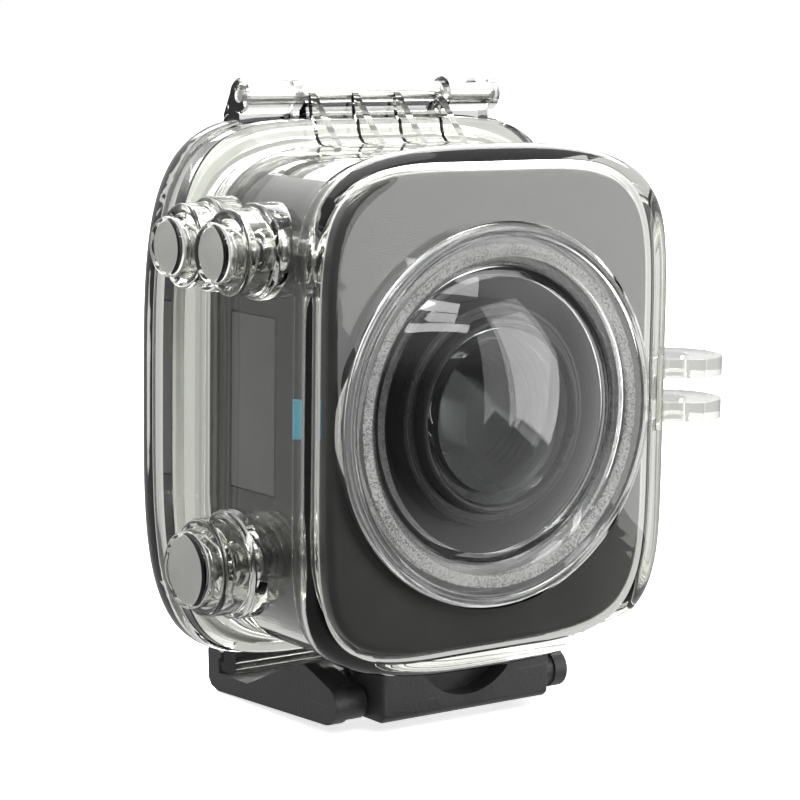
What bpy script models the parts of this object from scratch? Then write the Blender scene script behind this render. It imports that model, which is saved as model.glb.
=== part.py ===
"""Fisheye action camera shut in its clear waterproof housing.

X runs to the right as seen from the front, Y runs from the front face to the back door, Z is up.
Sizes are millimetres from the lens axis (X and Z) and from the front face (Y). BASE moves the
whole object so that its box stands on Z = 0, centred on the Z axis.
"""

import math

import bmesh
import bpy
from mathutils import Vector

MM = 0.001
GAP = 0.3  # between pieces that touch
WALL = 2.0  # clear plastic wall
RING_POINTS = 52  # points round each rounded-square outline
TURN_STEPS = 36  # steps round a large turned piece
SMALL_STEPS = 16  # steps round a small turned piece
SMOOTH_ANGLE = math.radians(35)

# rounded-square outlines: half width, half height, width exponent, height exponent, centre Z
RIM = (31.2, 36.2, 2.7, 7.0, 0.65)
SHELL = (29.8, 34.9, 3.2, 5.5, 0.65)
FLANGE = (34.5, 37.9, 5.7, 3.64, 1.17)
DOOR = (35.2, 38.5, 5.7, 3.64, 1.17)
CAVITY = (27.8, 32.9, 3.0, 6.0, 0.65)
GASKET = (32.5, 36.5, 4.6, 4.3, 0.9)
GASKET_WIDTH = 1.3
CAMERA = (26.0, 32.0, 3.0, 6.0, 0.65)

# depths from the front face
FRONT_WALL = 2.2
RIM_BACK = 5.2
FLANGE_FRONT = 28.9
PARTING = 32.0
DOOR_BACK = 38.8
DOOR_FLOOR = 36.9

# lens port and lens
PORT_R = 26.6
BORE_R = 20.6
SKIRT_R = 23.0
WINDOW_APEX = -6.3
WINDOW_BASE = 1.3
WINDOW_WALL = 1.6
SURROUND_Y = 5.0
BARREL_R = 15.0
BARREL_BORE = 13.3
BARREL_FRONT = 2.0
DOME_R = 11.8
DOME_BASE = 0.9
DOME_APEX = -3.8
DOME_WALL = 1.5

# camera case
CAMERA_FRONT = 2.5
CAMERA_SPLIT = 7.6
CAMERA_REAR_SPLIT = 29.0
CAMERA_BACK = 34.3
CASE_WALL = 1.8

# door hinge
HINGE_Y = PARTING
HINGE_Z = 42.3
PIN_R = 0.8
PIN_BORE = 0.95
BARREL_HALF = 12.3
KNUCKLE_INNER = 12.6
KNUCKLE_OUTER = 22.1
HINGE_BARREL_R = 1.8
KNUCKLE_R = 2.5

# side buttons: name, Y, Z, cap radius, collar radius
BUTTONS = (
    ("top_front", 14.2, 22.65, 4.1, 5.75),
    ("top_rear", 25.45, 22.65, 4.1, 5.75),
    ("bottom", 20.4, -20.6, 5.3, 6.75),
)
CAP_FACE = -38.1
CAP_SKIRT_END = -33.5
CAP_CEILING = -37.0
COLLAR_END = -35.4
COLLAR_FLOOR = -31.3
COLLAR_ROOT = -25.5
STEM_R = 1.5
STEM_END = -27.5
STEM_HOLE = 1.75
SEAL_POCKET_R = 2.6
SEAL_R = 2.1
SEAL_WIRE = 0.3
CAP_WALL = 0.6
SEAL_POCKET_END = -29.9
CLIP_POCKET_R = 3.1
CLIP_POCKET_END = -28.5
SPRING_WIRE = 0.25
SPRING_TURNS = 3

# two-finger mounting foot
FINGER_Z = 0.2
FINGER_PITCH = 6.35
FINGER_THICK = 2.8
FINGER_X = 39.9
FINGER_Y = 10.5
FINGER_R = 7.5
FINGER_HOLE = 2.5
FOOT_X = 30.1
FOOT_PLATE = 32.2
FOOT_FRONT = 6.7

# latch
LEVER_Y = 14.6
LEVER_Z = -36.3
HOOK_Y = 12.0
HOOK_Z = -40.0
LEVER_HALF = 14.5
LEVER_FRONT = 6.5
LEVER_BOTTOM = -42.4
LEVER_TOP = -34.6
LUG_INNER = 8.0
LUG_OUTER = 10.5
LUG_SLOT = 0.5
LUG_R = 1.8
ARM_INNER = 15.0
ARM_OUTER = 20.4
HOOK_FLOOR = -41.15
KEEPER_HALF = 20.2
KEEPER_BOTTOM = -40.8

# the object's box, which puts its base on Z = 0 and its middle on the Z axis
HOOK_BACK = 42.0
HOOK_BOTTOM = -43.9
LEFT_END = CAP_FACE
RIGHT_END = FINGER_X + FINGER_R
BASE = Vector((
    -(LEFT_END + RIGHT_END) / 2,
    -(WINDOW_APEX + HOOK_BACK) / 2,
    -HOOK_BOTTOM,
))

TURNS = {
    "x": (0.0, math.pi / 2, 0.0),
    "y": (-math.pi / 2, 0.0, 0.0),
    "z": (0.0, 0.0, 0.0),
}


# ---- scene, collections and materials ----

def clear_scene():
    for old in list(bpy.data.objects):
        bpy.data.objects.remove(old, do_unlink=True)


def new_collection(name):
    made = bpy.data.collections.new(name)
    bpy.context.scene.collection.children.link(made)
    return made


def make_material(name, colour, roughness, metallic=0.0, transmission=0.0):
    made = bpy.data.materials.new(name)
    made.use_nodes = True
    shader = made.node_tree.nodes["Principled BSDF"]
    shader.inputs["Base Color"].default_value = (*colour, 1.0)
    shader.inputs["Roughness"].default_value = roughness
    shader.inputs["Metallic"].default_value = metallic
    shader.inputs["Transmission Weight"].default_value = transmission
    made.diffuse_color = (*colour, 1.0)
    return made


# ---- modelling helpers ----

def add_object(name, mesh, centre, material=None, cutter=False):
    """Link a mesh whose points are measured from centre."""
    made = bpy.data.objects.new(name, mesh)
    made.location = (Vector(centre) + BASE) * MM
    if cutter:
        cutters.objects.link(made)
        made.hide_render = True
        made.display_type = "WIRE"
    else:
        parts.objects.link(made)
        mesh.materials.append(material)
    return made


def mesh_from(bm, name):
    bmesh.ops.recalc_face_normals(bm, faces=bm.faces[:])
    mesh = bpy.data.meshes.new(name)
    bm.to_mesh(mesh)
    bm.free()
    mesh.shade_smooth()
    mesh.set_sharp_from_angle(angle=SMOOTH_ANGLE)
    return mesh


def rounded_square(shape, inset=0.0, points=RING_POINTS):
    """Points (x, z) of a rounded square whose sides bow out a little."""
    half_w, half_h, power_w, power_h, centre_z = shape
    ring = []
    for i in range(points):
        turn = 2 * math.pi * i / points
        c, s = math.cos(turn), math.sin(turn)
        x = math.copysign(abs(c) ** (2 / power_w), c) * (half_w - inset)
        z = math.copysign(abs(s) ** (2 / power_h), s) * (half_h - inset)
        ring.append((x, z + centre_z))
    return ring


def loft(name, sections, centre=(0, 0, 0), material=None, cutter=False):
    """A closed body through rounded squares. Each section is (y, shape, inset)."""
    bm = bmesh.new()
    loops = []
    for y, shape, inset in sections:
        ring = [
            bm.verts.new((Vector((x, y, z)) - Vector(centre)) * MM)
            for x, z in rounded_square(shape, inset)
        ]
        loops.append([
            bm.edges.new((ring[i - 1], ring[i])) for i in range(len(ring))
        ])
    for near, far in zip(loops, loops[1:]):
        bmesh.ops.bridge_loops(bm, edges=near + far)
    for end in (loops[0], loops[-1]):
        bmesh.ops.contextual_create(bm, geom=end)
    return add_object(name, mesh_from(bm, name), centre, material, cutter)


def box(name, low, high, centre=(0, 0, 0), material=None, cutter=False, bevel=0.0):
    bm = bmesh.new()
    bmesh.ops.create_cube(bm, size=1.0)
    size = Vector(high) - Vector(low)
    middle = (Vector(high) + Vector(low)) / 2 - Vector(centre)
    bmesh.ops.scale(bm, vec=size * MM, verts=bm.verts)
    bmesh.ops.translate(bm, vec=middle * MM, verts=bm.verts)
    made = add_object(name, mesh_from(bm, name), centre, material, cutter)
    if bevel:
        add_bevel(made, bevel)
    return made


def prism(name, outline, low_x, high_x, centre=(0, 0, 0), material=None, cutter=False):
    """A side outline of (y, z) points, extruded along X."""
    bm = bmesh.new()
    ring = [
        bm.verts.new((Vector((low_x, y, z)) - Vector(centre)) * MM)
        for y, z in outline
    ]
    edges = [bm.edges.new((ring[i - 1], ring[i])) for i in range(len(ring))]
    bmesh.ops.contextual_create(bm, geom=edges)
    grown = bmesh.ops.extrude_face_region(bm, geom=bm.faces[:])
    moved = [v for v in grown["geom"] if isinstance(v, bmesh.types.BMVert)]
    bmesh.ops.translate(bm, vec=((high_x - low_x) * MM, 0, 0), verts=moved)
    return add_object(name, mesh_from(bm, name), centre, material, cutter)


def arc(centre_a, centre_b, radius, start, end, steps=8):
    """Points on an arc; angles in degrees from the first coordinate to the second."""
    return [
        (
            centre_a + radius * math.cos(math.radians(start + (end - start) * i / steps)),
            centre_b + radius * math.sin(math.radians(start + (end - start) * i / steps)),
        )
        for i in range(steps + 1)
    ]


def turned(name, profile, axis, centre, material=None, cutter=False, steps=TURN_STEPS):
    """A profile of (radius, distance along the axis) points, turned about the axis."""
    mesh = bpy.data.meshes.new(name)
    start = {"x": centre[0], "y": centre[1], "z": centre[2]}[axis]
    points = [(radius * MM, 0.0, (along - start) * MM) for radius, along in profile]
    last = len(points) - 1
    on_axis = profile[0][0] == 0 and profile[-1][0] == 0
    edges = [(i, i + 1) for i in range(last)] + ([] if on_axis else [(last, 0)])
    mesh.from_pydata(points, edges, [])
    made = add_object(name, mesh, centre, material, cutter)
    made.rotation_euler = TURNS[axis]
    screw = made.modifiers.new("Turn", "SCREW")
    screw.steps = steps
    screw.render_steps = steps
    screw.use_merge_vertices = True
    screw.merge_threshold = 0.00001
    bake(made)
    return made


def rod(name, radius, low, high, axis, centre, material=None, cutter=False, steps=SMALL_STEPS):
    profile = [(0, high), (radius, high), (radius, low), (0, low)]
    return turned(name, profile, axis, centre, material, cutter, steps)


def spring(name, radius, wire, turns, low, high, centre, material):
    """A coil along X, as a poly curve with a round section."""
    count = turns * 8
    curve = bpy.data.curves.new(name, "CURVE")
    curve.dimensions = "3D"
    curve.bevel_depth = wire * MM
    curve.bevel_resolution = 1
    curve.use_fill_caps = True
    line = curve.splines.new("POLY")
    line.points.add(count)
    for i, point in enumerate(line.points):
        turn = 2 * math.pi * turns * i / count
        x = low + wire + (high - low - 2 * wire) * i / count - centre[0]
        y = radius * math.cos(turn)
        z = radius * math.sin(turn)
        point.co = (x * MM, y * MM, z * MM, 1.0)
    made = bpy.data.objects.new(name, curve)
    made.location = (Vector(centre) + BASE) * MM
    parts.objects.link(made)
    mesh = evaluated_mesh(made)
    bm = bmesh.new()
    bm.from_mesh(mesh)
    bmesh.ops.remove_doubles(bm, verts=bm.verts, dist=0.00001)
    bpy.data.objects.remove(made, do_unlink=True)
    return add_object(name, mesh_from(bm, name), centre, material)


def evaluated_mesh(source):
    graph = bpy.context.evaluated_depsgraph_get()
    return bpy.data.meshes.new_from_object(source.evaluated_get(graph))


def bake(made):
    """Keep the modifiers' result as the object's own mesh."""
    mesh = evaluated_mesh(made)
    made.modifiers.clear()
    made.data = mesh
    bm = bmesh.new()
    bm.from_mesh(mesh)
    bmesh.ops.recalc_face_normals(bm, faces=bm.faces[:])
    bm.to_mesh(mesh)
    bm.free()
    mesh.shade_smooth()
    mesh.set_sharp_from_angle(angle=SMOOTH_ANGLE)


def add_bevel(made, width, segments=2):
    bevel = made.modifiers.new("Bevel", "BEVEL")
    bevel.width = width * MM
    bevel.segments = segments
    bevel.limit_method = "ANGLE"
    bake(made)


def boolean(made, operation, others):
    for other in others:
        step = made.modifiers.new(operation.title(), "BOOLEAN")
        step.operation = operation
        step.solver = "EXACT"
        step.object = other
    bpy.context.view_layer.update()
    bake(made)


# ---- housing ----

def button_collar(name, y, z, collar_r):
    root_r = collar_r + 0.75
    profile = [
        (0, COLLAR_ROOT),
        (root_r, COLLAR_ROOT),
        (root_r, -SHELL[0] - 1.1),
        (collar_r, -SHELL[0] - 1.7),
        (collar_r, COLLAR_END + 0.4),
        (collar_r - 0.4, COLLAR_END),
        (0, COLLAR_END),
    ]
    return turned("collar_" + name, profile, "x", (-30, y, z), cutter=True, steps=24)


def button_bore(name, y, z, cap_r):
    """The stepped hole through a collar: cap bore, seal pocket, stem hole, clip pocket."""
    profile = [
        (0, COLLAR_END - 1),
        (cap_r + 0.35, COLLAR_END - 1),
        (cap_r + 0.35, COLLAR_FLOOR),
        (SEAL_POCKET_R, COLLAR_FLOOR),
        (SEAL_POCKET_R, SEAL_POCKET_END),
        (STEM_HOLE, SEAL_POCKET_END),
        (STEM_HOLE, CLIP_POCKET_END),
        (CLIP_POCKET_R, CLIP_POCKET_END),
        (CLIP_POCKET_R, COLLAR_ROOT + 1),
        (0, COLLAR_ROOT + 1),
    ]
    return turned("bore_" + name, profile, "x", (-30, y, z), cutter=True, steps=24)


def collar_web():
    first, second = BUTTONS[0], BUTTONS[1]
    low = (COLLAR_END + 1.2, first[1], first[2] - 3.2)
    high = (COLLAR_ROOT, second[1], first[2] + 3.2)
    return box("collar_web", low, high, cutter=True)


def hinge_barrel():
    return rod(
        "hinge_barrel", HINGE_BARREL_R, -BARREL_HALF, BARREL_HALF, "x",
        (0, HINGE_Y, HINGE_Z), cutter=True,
    )


def hinge_gussets():
    """A thin web under the barrel and four three-cornered gussets in front of it."""
    flange_top = FLANGE[1] + FLANGE[4]
    web = [
        (HINGE_Y - 1.5, HINGE_Z),
        (HINGE_Y - 0.2, HINGE_Z),
        (HINGE_Y - 0.2, flange_top - 2.5),
        (HINGE_Y - 2.6, flange_top - 2.5),
    ]
    gusset = [
        (HINGE_Y - 1.2, HINGE_Z + 0.9),
        (HINGE_Y - 1.2, flange_top - 3.0),
        (HINGE_Y - 8.5, flange_top - 4.6),
        (HINGE_Y - 8.0, flange_top - 2.9),
    ]
    made = [prism("hinge_web", web, -BARREL_HALF + 0.2, BARREL_HALF - 0.2, cutter=True)]
    for i in range(4):
        x = (i - 1.5) * (2 * BARREL_HALF - 2.6) / 3
        made.append(prism(f"gusset_{i}", gusset, x - 0.6, x + 0.6, cutter=True))
    return made


def latch_lugs():
    """Two ears under the shell that carry the lever's pin."""
    top = -SHELL[1] + SHELL[4] + 1.6
    side = [(LEVER_Y - LUG_R, top)]
    side += arc(LEVER_Y, LEVER_Z, LUG_R, 180, 360)
    side += [(LEVER_Y + LUG_R, top)]
    return [
        prism("lug_right", side, LUG_INNER, LUG_OUTER, cutter=True),
        prism("lug_left", side, -LUG_OUTER, -LUG_INNER, cutter=True),
    ]


def build_front_shell():
    sections = [
        (0.0, RIM, 3.7),
        (0.3, RIM, 2.3),
        (1.1, RIM, 1.1),
        (2.3, RIM, 0.3),
        (3.6, RIM, 0.0),
        (RIM_BACK, RIM, 0.2),
        (RIM_BACK + 0.9, SHELL, 0.0),
        (FLANGE_FRONT - 2.2, SHELL, 0.0),
        (FLANGE_FRONT - 0.7, SHELL, -0.5),
        (FLANGE_FRONT, FLANGE, 0.9),
        (FLANGE_FRONT + 0.5, FLANGE, 0.0),
        (PARTING - GAP / 2, FLANGE, 0.0),
    ]
    shell = loft("front_shell", sections, material=clear)
    hollow = loft("shell_hollow", [
        (FRONT_WALL, CAVITY, 3.4),
        (FRONT_WALL + 0.7, CAVITY, 1.5),
        (FRONT_WALL + 2.2, CAVITY, 0.0),
        (PARTING + 1, CAVITY, 0.0),
    ], cutter=True)
    behind = box("behind_parting", (-50, PARTING - GAP / 2, -60), (50, 60, 60), cutter=True)
    port = rod("port_hole", PORT_R, -2, FRONT_WALL + 1.5, "y", (0, 0, 0), cutter=True,
               steps=TURN_STEPS)
    hinge_bore = rod("hinge_bore", PIN_BORE, -14, 14, "x", (0, HINGE_Y, HINGE_Z), cutter=True,
                     steps=20)
    lug_bore = rod("lug_bore", PIN_BORE, -12, 12, "x", (0, LEVER_Y, LEVER_Z), cutter=True)
    collars = [button_collar(name, y, z, collar_r) for name, y, z, _, collar_r in BUTTONS]
    bores = [button_bore(name, y, z, cap_r) for name, y, z, cap_r, _ in BUTTONS]
    boolean(shell, "UNION", [collar_web(), *collars, *latch_lugs()])
    boolean(shell, "DIFFERENCE", [behind])
    boolean(shell, "UNION", [*hinge_gussets(), hinge_barrel()])
    boolean(shell, "DIFFERENCE", [hollow, port, hinge_bore, lug_bore, *bores])
    return shell


def build_mount_fingers():
    """Two flat tabs with round ends on a plate on the right side wall."""
    half_span = (FINGER_PITCH + FINGER_THICK) / 2
    plate = box(
        "mount_fingers",
        (FOOT_X, FOOT_FRONT, FINGER_Z - half_span - 0.9),
        (FOOT_PLATE, FINGER_Y + FINGER_R - 0.3, FINGER_Z + half_span + 0.9),
        material=clear, bevel=0.4,
    )
    tabs = []
    for i, side in enumerate((-1, 1)):
        middle = FINGER_Z + side * FINGER_PITCH / 2
        tabs.append(finger_tab(f"tab_{i}", middle))
    pin_hole = rod("finger_hole", FINGER_HOLE, -10, 10, "z", (FINGER_X, FINGER_Y, 0), cutter=True)
    boolean(plate, "UNION", tabs)
    boolean(plate, "DIFFERENCE", [pin_hole])
    return plate


def finger_tab(name, middle):
    bm = bmesh.new()
    outline = [(FOOT_X + 0.6, FOOT_FRONT + 0.3), (FOOT_PLATE, FOOT_FRONT + 0.3)]
    outline += arc(FINGER_X, FINGER_Y, FINGER_R, 270, 450, 16)
    outline += [(FOOT_X + 0.6, FINGER_Y + FINGER_R - 1.2)]
    low = middle - FINGER_THICK / 2
    ring = [bm.verts.new(Vector((x, y, low)) * MM) for x, y in outline]
    edges = [bm.edges.new((ring[i - 1], ring[i])) for i in range(len(ring))]
    bmesh.ops.contextual_create(bm, geom=edges)
    grown = bmesh.ops.extrude_face_region(bm, geom=bm.faces[:])
    moved = [v for v in grown["geom"] if isinstance(v, bmesh.types.BMVert)]
    bmesh.ops.translate(bm, vec=(0, 0, FINGER_THICK * MM), verts=moved)
    return add_object(name, mesh_from(bm, name), (0, 0, 0), cutter=True)


def build_port():
    ring = [
        (26.3, 0.0), (26.3, 0.6), (25.4, 0.6), (25.4, 2.4), (SKIRT_R, 2.4), (SKIRT_R, 5.3),
        (BORE_R + 0.4, 5.3), (BORE_R, 4.9), (BORE_R, 1.0), (22.1, -0.5), (24.5, -0.5),
        (24.7, -0.2), (25.0, -0.2), (25.2, -0.5), (25.8, -0.5),
    ]
    turned("port_ring", ring, "y", (0, 0, 0), frosted)
    seal = [(26.3, 2.1), (25.75, 2.1), (25.75, 0.9), (26.3, 0.9)]
    turned("port_seal", seal, "y", (0, 0, 0), rubber)
    turned("port_window", window_profile(), "y", (0, 0, 0), clear)


def cap_arc(apex, base, edge_r, steps):
    """Points (radius, y) on a ball cap from its edge to its apex."""
    rise = base - apex
    ball = (edge_r ** 2 + rise ** 2) / (2 * rise)
    sweep = math.asin(edge_r / ball)
    return [
        (
            ball * math.sin(sweep * (1 - i / steps)),
            apex + ball - ball * math.cos(sweep * (1 - i / steps)),
        )
        for i in range(steps)
    ] + [(0, apex)]


def window_profile():
    edge = BORE_R - GAP
    outer = cap_arc(WINDOW_APEX, WINDOW_BASE, edge, 7)
    inner = cap_arc(WINDOW_APEX + WINDOW_WALL, WINDOW_BASE, edge - WINDOW_WALL, 7)
    seat = [(edge - WINDOW_WALL, WINDOW_BASE + 1.5), (edge, WINDOW_BASE + 1.5)]
    return inner[::-1] + seat + outer


def build_lens():
    surround = [
        (BORE_R - 0.5, SURROUND_Y), (BORE_R - 0.5, SURROUND_Y + 0.7),
        (BARREL_R + 0.4, SURROUND_Y + 0.7), (BARREL_R + 0.4, SURROUND_Y),
    ]
    turned("lens_surround", surround, "y", (0, 0, 0), black)
    barrel = [
        (BARREL_R, BARREL_FRONT + 0.3), (BARREL_R, 12.0), (BARREL_BORE, 12.0),
        (BARREL_BORE, BARREL_FRONT), (BARREL_R - 0.3, BARREL_FRONT),
    ]
    turned("lens_barrel", barrel, "y", (0, 0, 0), black_metal)
    trim = [
        (BARREL_BORE - 0.3, 0.9), (BARREL_BORE - 0.3, 4.2), (12.1, 4.2), (12.1, 0.9),
        (12.4, 0.4), (BARREL_BORE - 0.6, 0.4),
    ]
    turned("lens_trim", trim, "y", (0, 0, 0), black_metal)
    outer = cap_arc(DOME_APEX, DOME_BASE, DOME_R, 7)
    inner = cap_arc(DOME_APEX + DOME_WALL, DOME_BASE, DOME_R - DOME_WALL, 6)
    seat = [(DOME_R - DOME_WALL, DOME_BASE + 1.4), (DOME_R, DOME_BASE + 1.4)]
    turned("lens_dome", inner[::-1] + seat + outer, "y", (0, 0, 0), glass)
    baffle = [(BARREL_BORE - 0.3, 4.6), (BARREL_BORE - 0.3, 11.4), (5.4, 11.4), (5.4, 8.2)]
    for i in range(4):
        radius = 6.6 + i * 1.5
        depth = 7.6 - i * 0.8
        baffle += [(radius, depth + 0.6), (radius, depth)]
    baffle += [(12.6, 4.6)]
    turned("lens_baffle", baffle, "y", (0, 0, 0), black)
    inner_front = cap_arc(4.4, 7.2, 5.9, 5)
    element = [(0, 7.9), (5.9, 7.9)] + inner_front
    turned("lens_inner", element, "y", (0, 0, 0), glass)


# ---- camera ----

def case_sections(front, back, front_round, back_round):
    """Sections of a camera case piece, with a rounded front or back edge."""
    made = []
    if front_round:
        made += [(front, CAMERA, 2.0), (front + 0.5, CAMERA, 0.7), (front + 1.5, CAMERA, 0.1)]
    made.append((front + front_round, CAMERA, 0.0))
    made.append((back - back_round, CAMERA, 0.0))
    if back_round:
        made += [(back - 1.2, CAMERA, 0.3), (back - 0.4, CAMERA, 1.1), (back, CAMERA, 2.5)]
    return made


def build_camera_front():
    front = loft("camera_front", case_sections(CAMERA_FRONT, CAMERA_SPLIT, 2.3, 0.0),
                 material=grey)
    pocket = rod("port_pocket", SKIRT_R + 0.4, 0, 6.0, "y", (0, 0, 0), cutter=True,
                 steps=TURN_STEPS)
    hole = rod("front_hole", BARREL_R + 0.3, 4, 9, "y", (0, 0, 0), cutter=True,
               steps=TURN_STEPS)
    boolean(front, "DIFFERENCE", [pocket, hole])


def build_camera_body():
    body = loft("camera_body", case_sections(CAMERA_SPLIT + GAP, CAMERA_REAR_SPLIT, 0.0, 0.0),
                material=charcoal)
    inside = loft("body_inside", [
        (CAMERA_SPLIT + GAP + 2.6, CAMERA, CASE_WALL),
        (CAMERA_REAR_SPLIT + 1, CAMERA, CASE_WALL),
    ], cutter=True)
    hole = rod("body_hole", BARREL_R + 0.3, 5, 12, "y", (0, 0, 0), cutter=True,
               steps=TURN_STEPS)
    recesses = [
        box(f"recess_{i}", (side * CAMERA[0] - 0.8, PANEL_Y[0], PANEL_Z[0]),
            (side * CAMERA[0] + 0.8, PANEL_Y[1], PANEL_Z[1]), cutter=True)
        for i, side in enumerate((-1, 1))
    ]
    strip = box("strip_recess", (-CAMERA[0] - 0.8, STRIP_Y[0], STRIP_Z[0]),
                (-CAMERA[0] + 0.8, STRIP_Y[1], STRIP_Z[1]), cutter=True)
    boolean(body, "DIFFERENCE", [inside, hole, strip, *recesses])


PANEL_Y = (14.7, 25.9)
PANEL_Z = (-11.0, 13.6)
STRIP_Y = (8.4, 10.6)
STRIP_Z = (-1.2, 3.7)


def build_side_trim():
    edge = CAMERA[0]
    for name, side in (("side_panel_left", -1), ("side_panel_right", 1)):
        near, far = sorted((side * (edge - 0.5), side * (edge + 0.05)))
        box(name, (near, PANEL_Y[0] + GAP, PANEL_Z[0] + GAP),
            (far, PANEL_Y[1] - GAP, PANEL_Z[1] - GAP), material=light_grey)
    box("accent_strip", (-edge - 0.05, STRIP_Y[0] + GAP / 2, STRIP_Z[0] + GAP / 2),
        (-edge + 0.5, STRIP_Y[1] - GAP / 2, STRIP_Z[1] - GAP / 2), material=blue)


def build_camera_rear():
    rear = loft("camera_rear", case_sections(CAMERA_REAR_SPLIT + GAP, CAMERA_BACK, 0.0, 2.0),
                material=charcoal)
    recess = box("battery_recess", (-17, CAMERA_BACK - 1.1, -24), (17, CAMERA_BACK + 1, 12),
                 cutter=True)
    boolean(rear, "DIFFERENCE", [recess])
    box("battery_door", (-16.7, CAMERA_BACK - 0.8, -23.7), (16.7, CAMERA_BACK, 11.7),
        material=grey, bevel=0.25)


def build_camera_inside():
    box("sensor_board", (-11, 12.6, -11), (11, 13.8, 11), material=board)
    box("main_board", (-19, 15.4, -24), (19, 16.8, 25), material=board)
    box("battery", (-16, 18.0, -24), (16, 27.6, 14), material=battery_wrap, bevel=0.8)


# ---- door ----

def build_back_door():
    door = loft("back_door", [
        (PARTING + GAP / 2, DOOR, 0.6),
        (PARTING + 0.6, DOOR, 0.1),
        (34.5, DOOR, 0.0),
        (36.4, DOOR, 0.5),
        (37.7, DOOR, 1.7),
        (38.5, DOOR, 3.6),
        (DOOR_BACK, DOOR, 5.6),
    ], centre=HINGE, material=clear)
    hollow = loft("door_hollow", [
        (PARTING - 1, CAVITY, 0.0),
        (DOOR_FLOOR - 1.8, CAVITY, 0.0),
        (DOOR_FLOOR - 0.5, CAVITY, 0.8),
        (DOOR_FLOOR, CAVITY, 2.4),
    ], cutter=True)
    groove = gasket_frame("gasket_groove", PARTING - 1, GAP, cutter=True)
    relief = rod("barrel_relief", HINGE_BARREL_R + 0.35, -BARREL_HALF - 0.3, BARREL_HALF + 0.3,
                 "x", (0, HINGE_Y, HINGE_Z), cutter=True, steps=24)
    bore = rod("door_bore", PIN_BORE, -30, 30, "x", (0, HINGE_Y, HINGE_Z), cutter=True)
    boolean(door, "UNION", [*door_knuckles(), keeper()])
    boolean(door, "DIFFERENCE", [groove, hollow, relief, bore])
    gasket_frame("door_gasket", PARTING, 0.0, centre=HINGE, material=rubber)
    box("rear_pad", (-13, CAMERA_BACK + GAP, -15), (13, DOOR_FLOOR - GAP, 15),
        centre=HINGE, material=pad, bevel=0.6)


def gasket_frame(name, front, clearance, centre=(0, 0, 0), material=None, cutter=False):
    """The rubber frame between shell and door, or the groove round it with some clearance."""
    back = PARTING + 1.6 + clearance
    outside = [(front, GASKET, -clearance), (back, GASKET, -clearance)]
    made = loft(name, outside, centre=centre, material=material, cutter=cutter)
    inset = GASKET_WIDTH + clearance
    inside = loft(name + "_inside", [(front - 1, GASKET, inset), (back + 1, GASKET, inset)],
                  cutter=True)
    boolean(made, "DIFFERENCE", [inside])
    return made


def door_knuckles():
    """Outer knuckles with the legs that run down to the door's top edge."""
    leg = [
        (HINGE_Y + 0.2, HINGE_Z + KNUCKLE_R - 0.1),
        (HINGE_Y + 0.2, HINGE_Z - 4.6),
        (HINGE_Y + 4.4, HINGE_Z - 4.6),
        (HINGE_Y + 4.2, HINGE_Z - 2.6),
        (HINGE_Y + 2.3, HINGE_Z + 1.0),
    ]
    made = []
    for side in (-1, 1):
        low, high = sorted((side * KNUCKLE_INNER, side * KNUCKLE_OUTER))
        name = "right" if side > 0 else "left"
        made.append(rod("knuckle_" + name, KNUCKLE_R, low, high, "x",
                        (0, HINGE_Y, HINGE_Z), cutter=True))
        made.append(prism("leg_" + name, leg, low + 0.3, high - 0.3, cutter=True))
    return made


def keeper():
    """The rib under the door that the latch hook holds, with a notch for the hook's nose."""
    side = [
        (34.8, -34.5),
        (34.8, KEEPER_BOTTOM + 0.5),
        (35.4, KEEPER_BOTTOM),
        (37.9, KEEPER_BOTTOM),
        (38.7, KEEPER_BOTTOM + 0.7),
        (38.7, -39.7),
        (38.05, -39.3),
        (38.05, -34.5),
    ]
    return prism("keeper", side, -KEEPER_HALF, KEEPER_HALF, cutter=True)


# ---- side buttons ----

def build_button(name, y, z, cap_r):
    centre = (CAP_FACE, y, z)
    cap = [
        (0, CAP_CEILING), (cap_r - CAP_WALL, CAP_CEILING), (cap_r - CAP_WALL, CAP_SKIRT_END),
        (cap_r, CAP_SKIRT_END), (cap_r, CAP_FACE + 0.7), (cap_r - 0.5, CAP_FACE + 0.15),
        (cap_r - 1.0, CAP_FACE), (0, CAP_FACE),
    ]
    turned("button_cap_" + name, cap, "x", centre, clear, steps=24)
    stem = [
        (0, STEM_END), (STEM_R, STEM_END), (STEM_R, -33.0), (2.0, -33.4), (2.0, -34.2),
        (STEM_R, -34.6), (STEM_R, CAP_CEILING + GAP), (0, CAP_CEILING + GAP),
    ]
    turned("button_stem_" + name, stem, "x", centre, steel, steps=SMALL_STEPS)
    clip = [(2.8, -28.4), (2.8, -27.9), (1.7, -27.9), (1.7, -28.4)]
    turned("button_clip_" + name, clip, "x", centre, steel, steps=SMALL_STEPS)
    seal = arc(SEAL_R, -30.65, SEAL_WIRE, 0, 300, 5)
    turned("button_seal_" + name, seal, "x", (-30.65, y, z), rubber, steps=SMALL_STEPS)
    spring("button_spring_" + name, cap_r - CAP_WALL - GAP - SPRING_WIRE, SPRING_WIRE,
           SPRING_TURNS, CAP_CEILING + GAP, COLLAR_FLOOR - GAP, (COLLAR_FLOOR, y, z), steel)


# ---- latch ----

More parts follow.
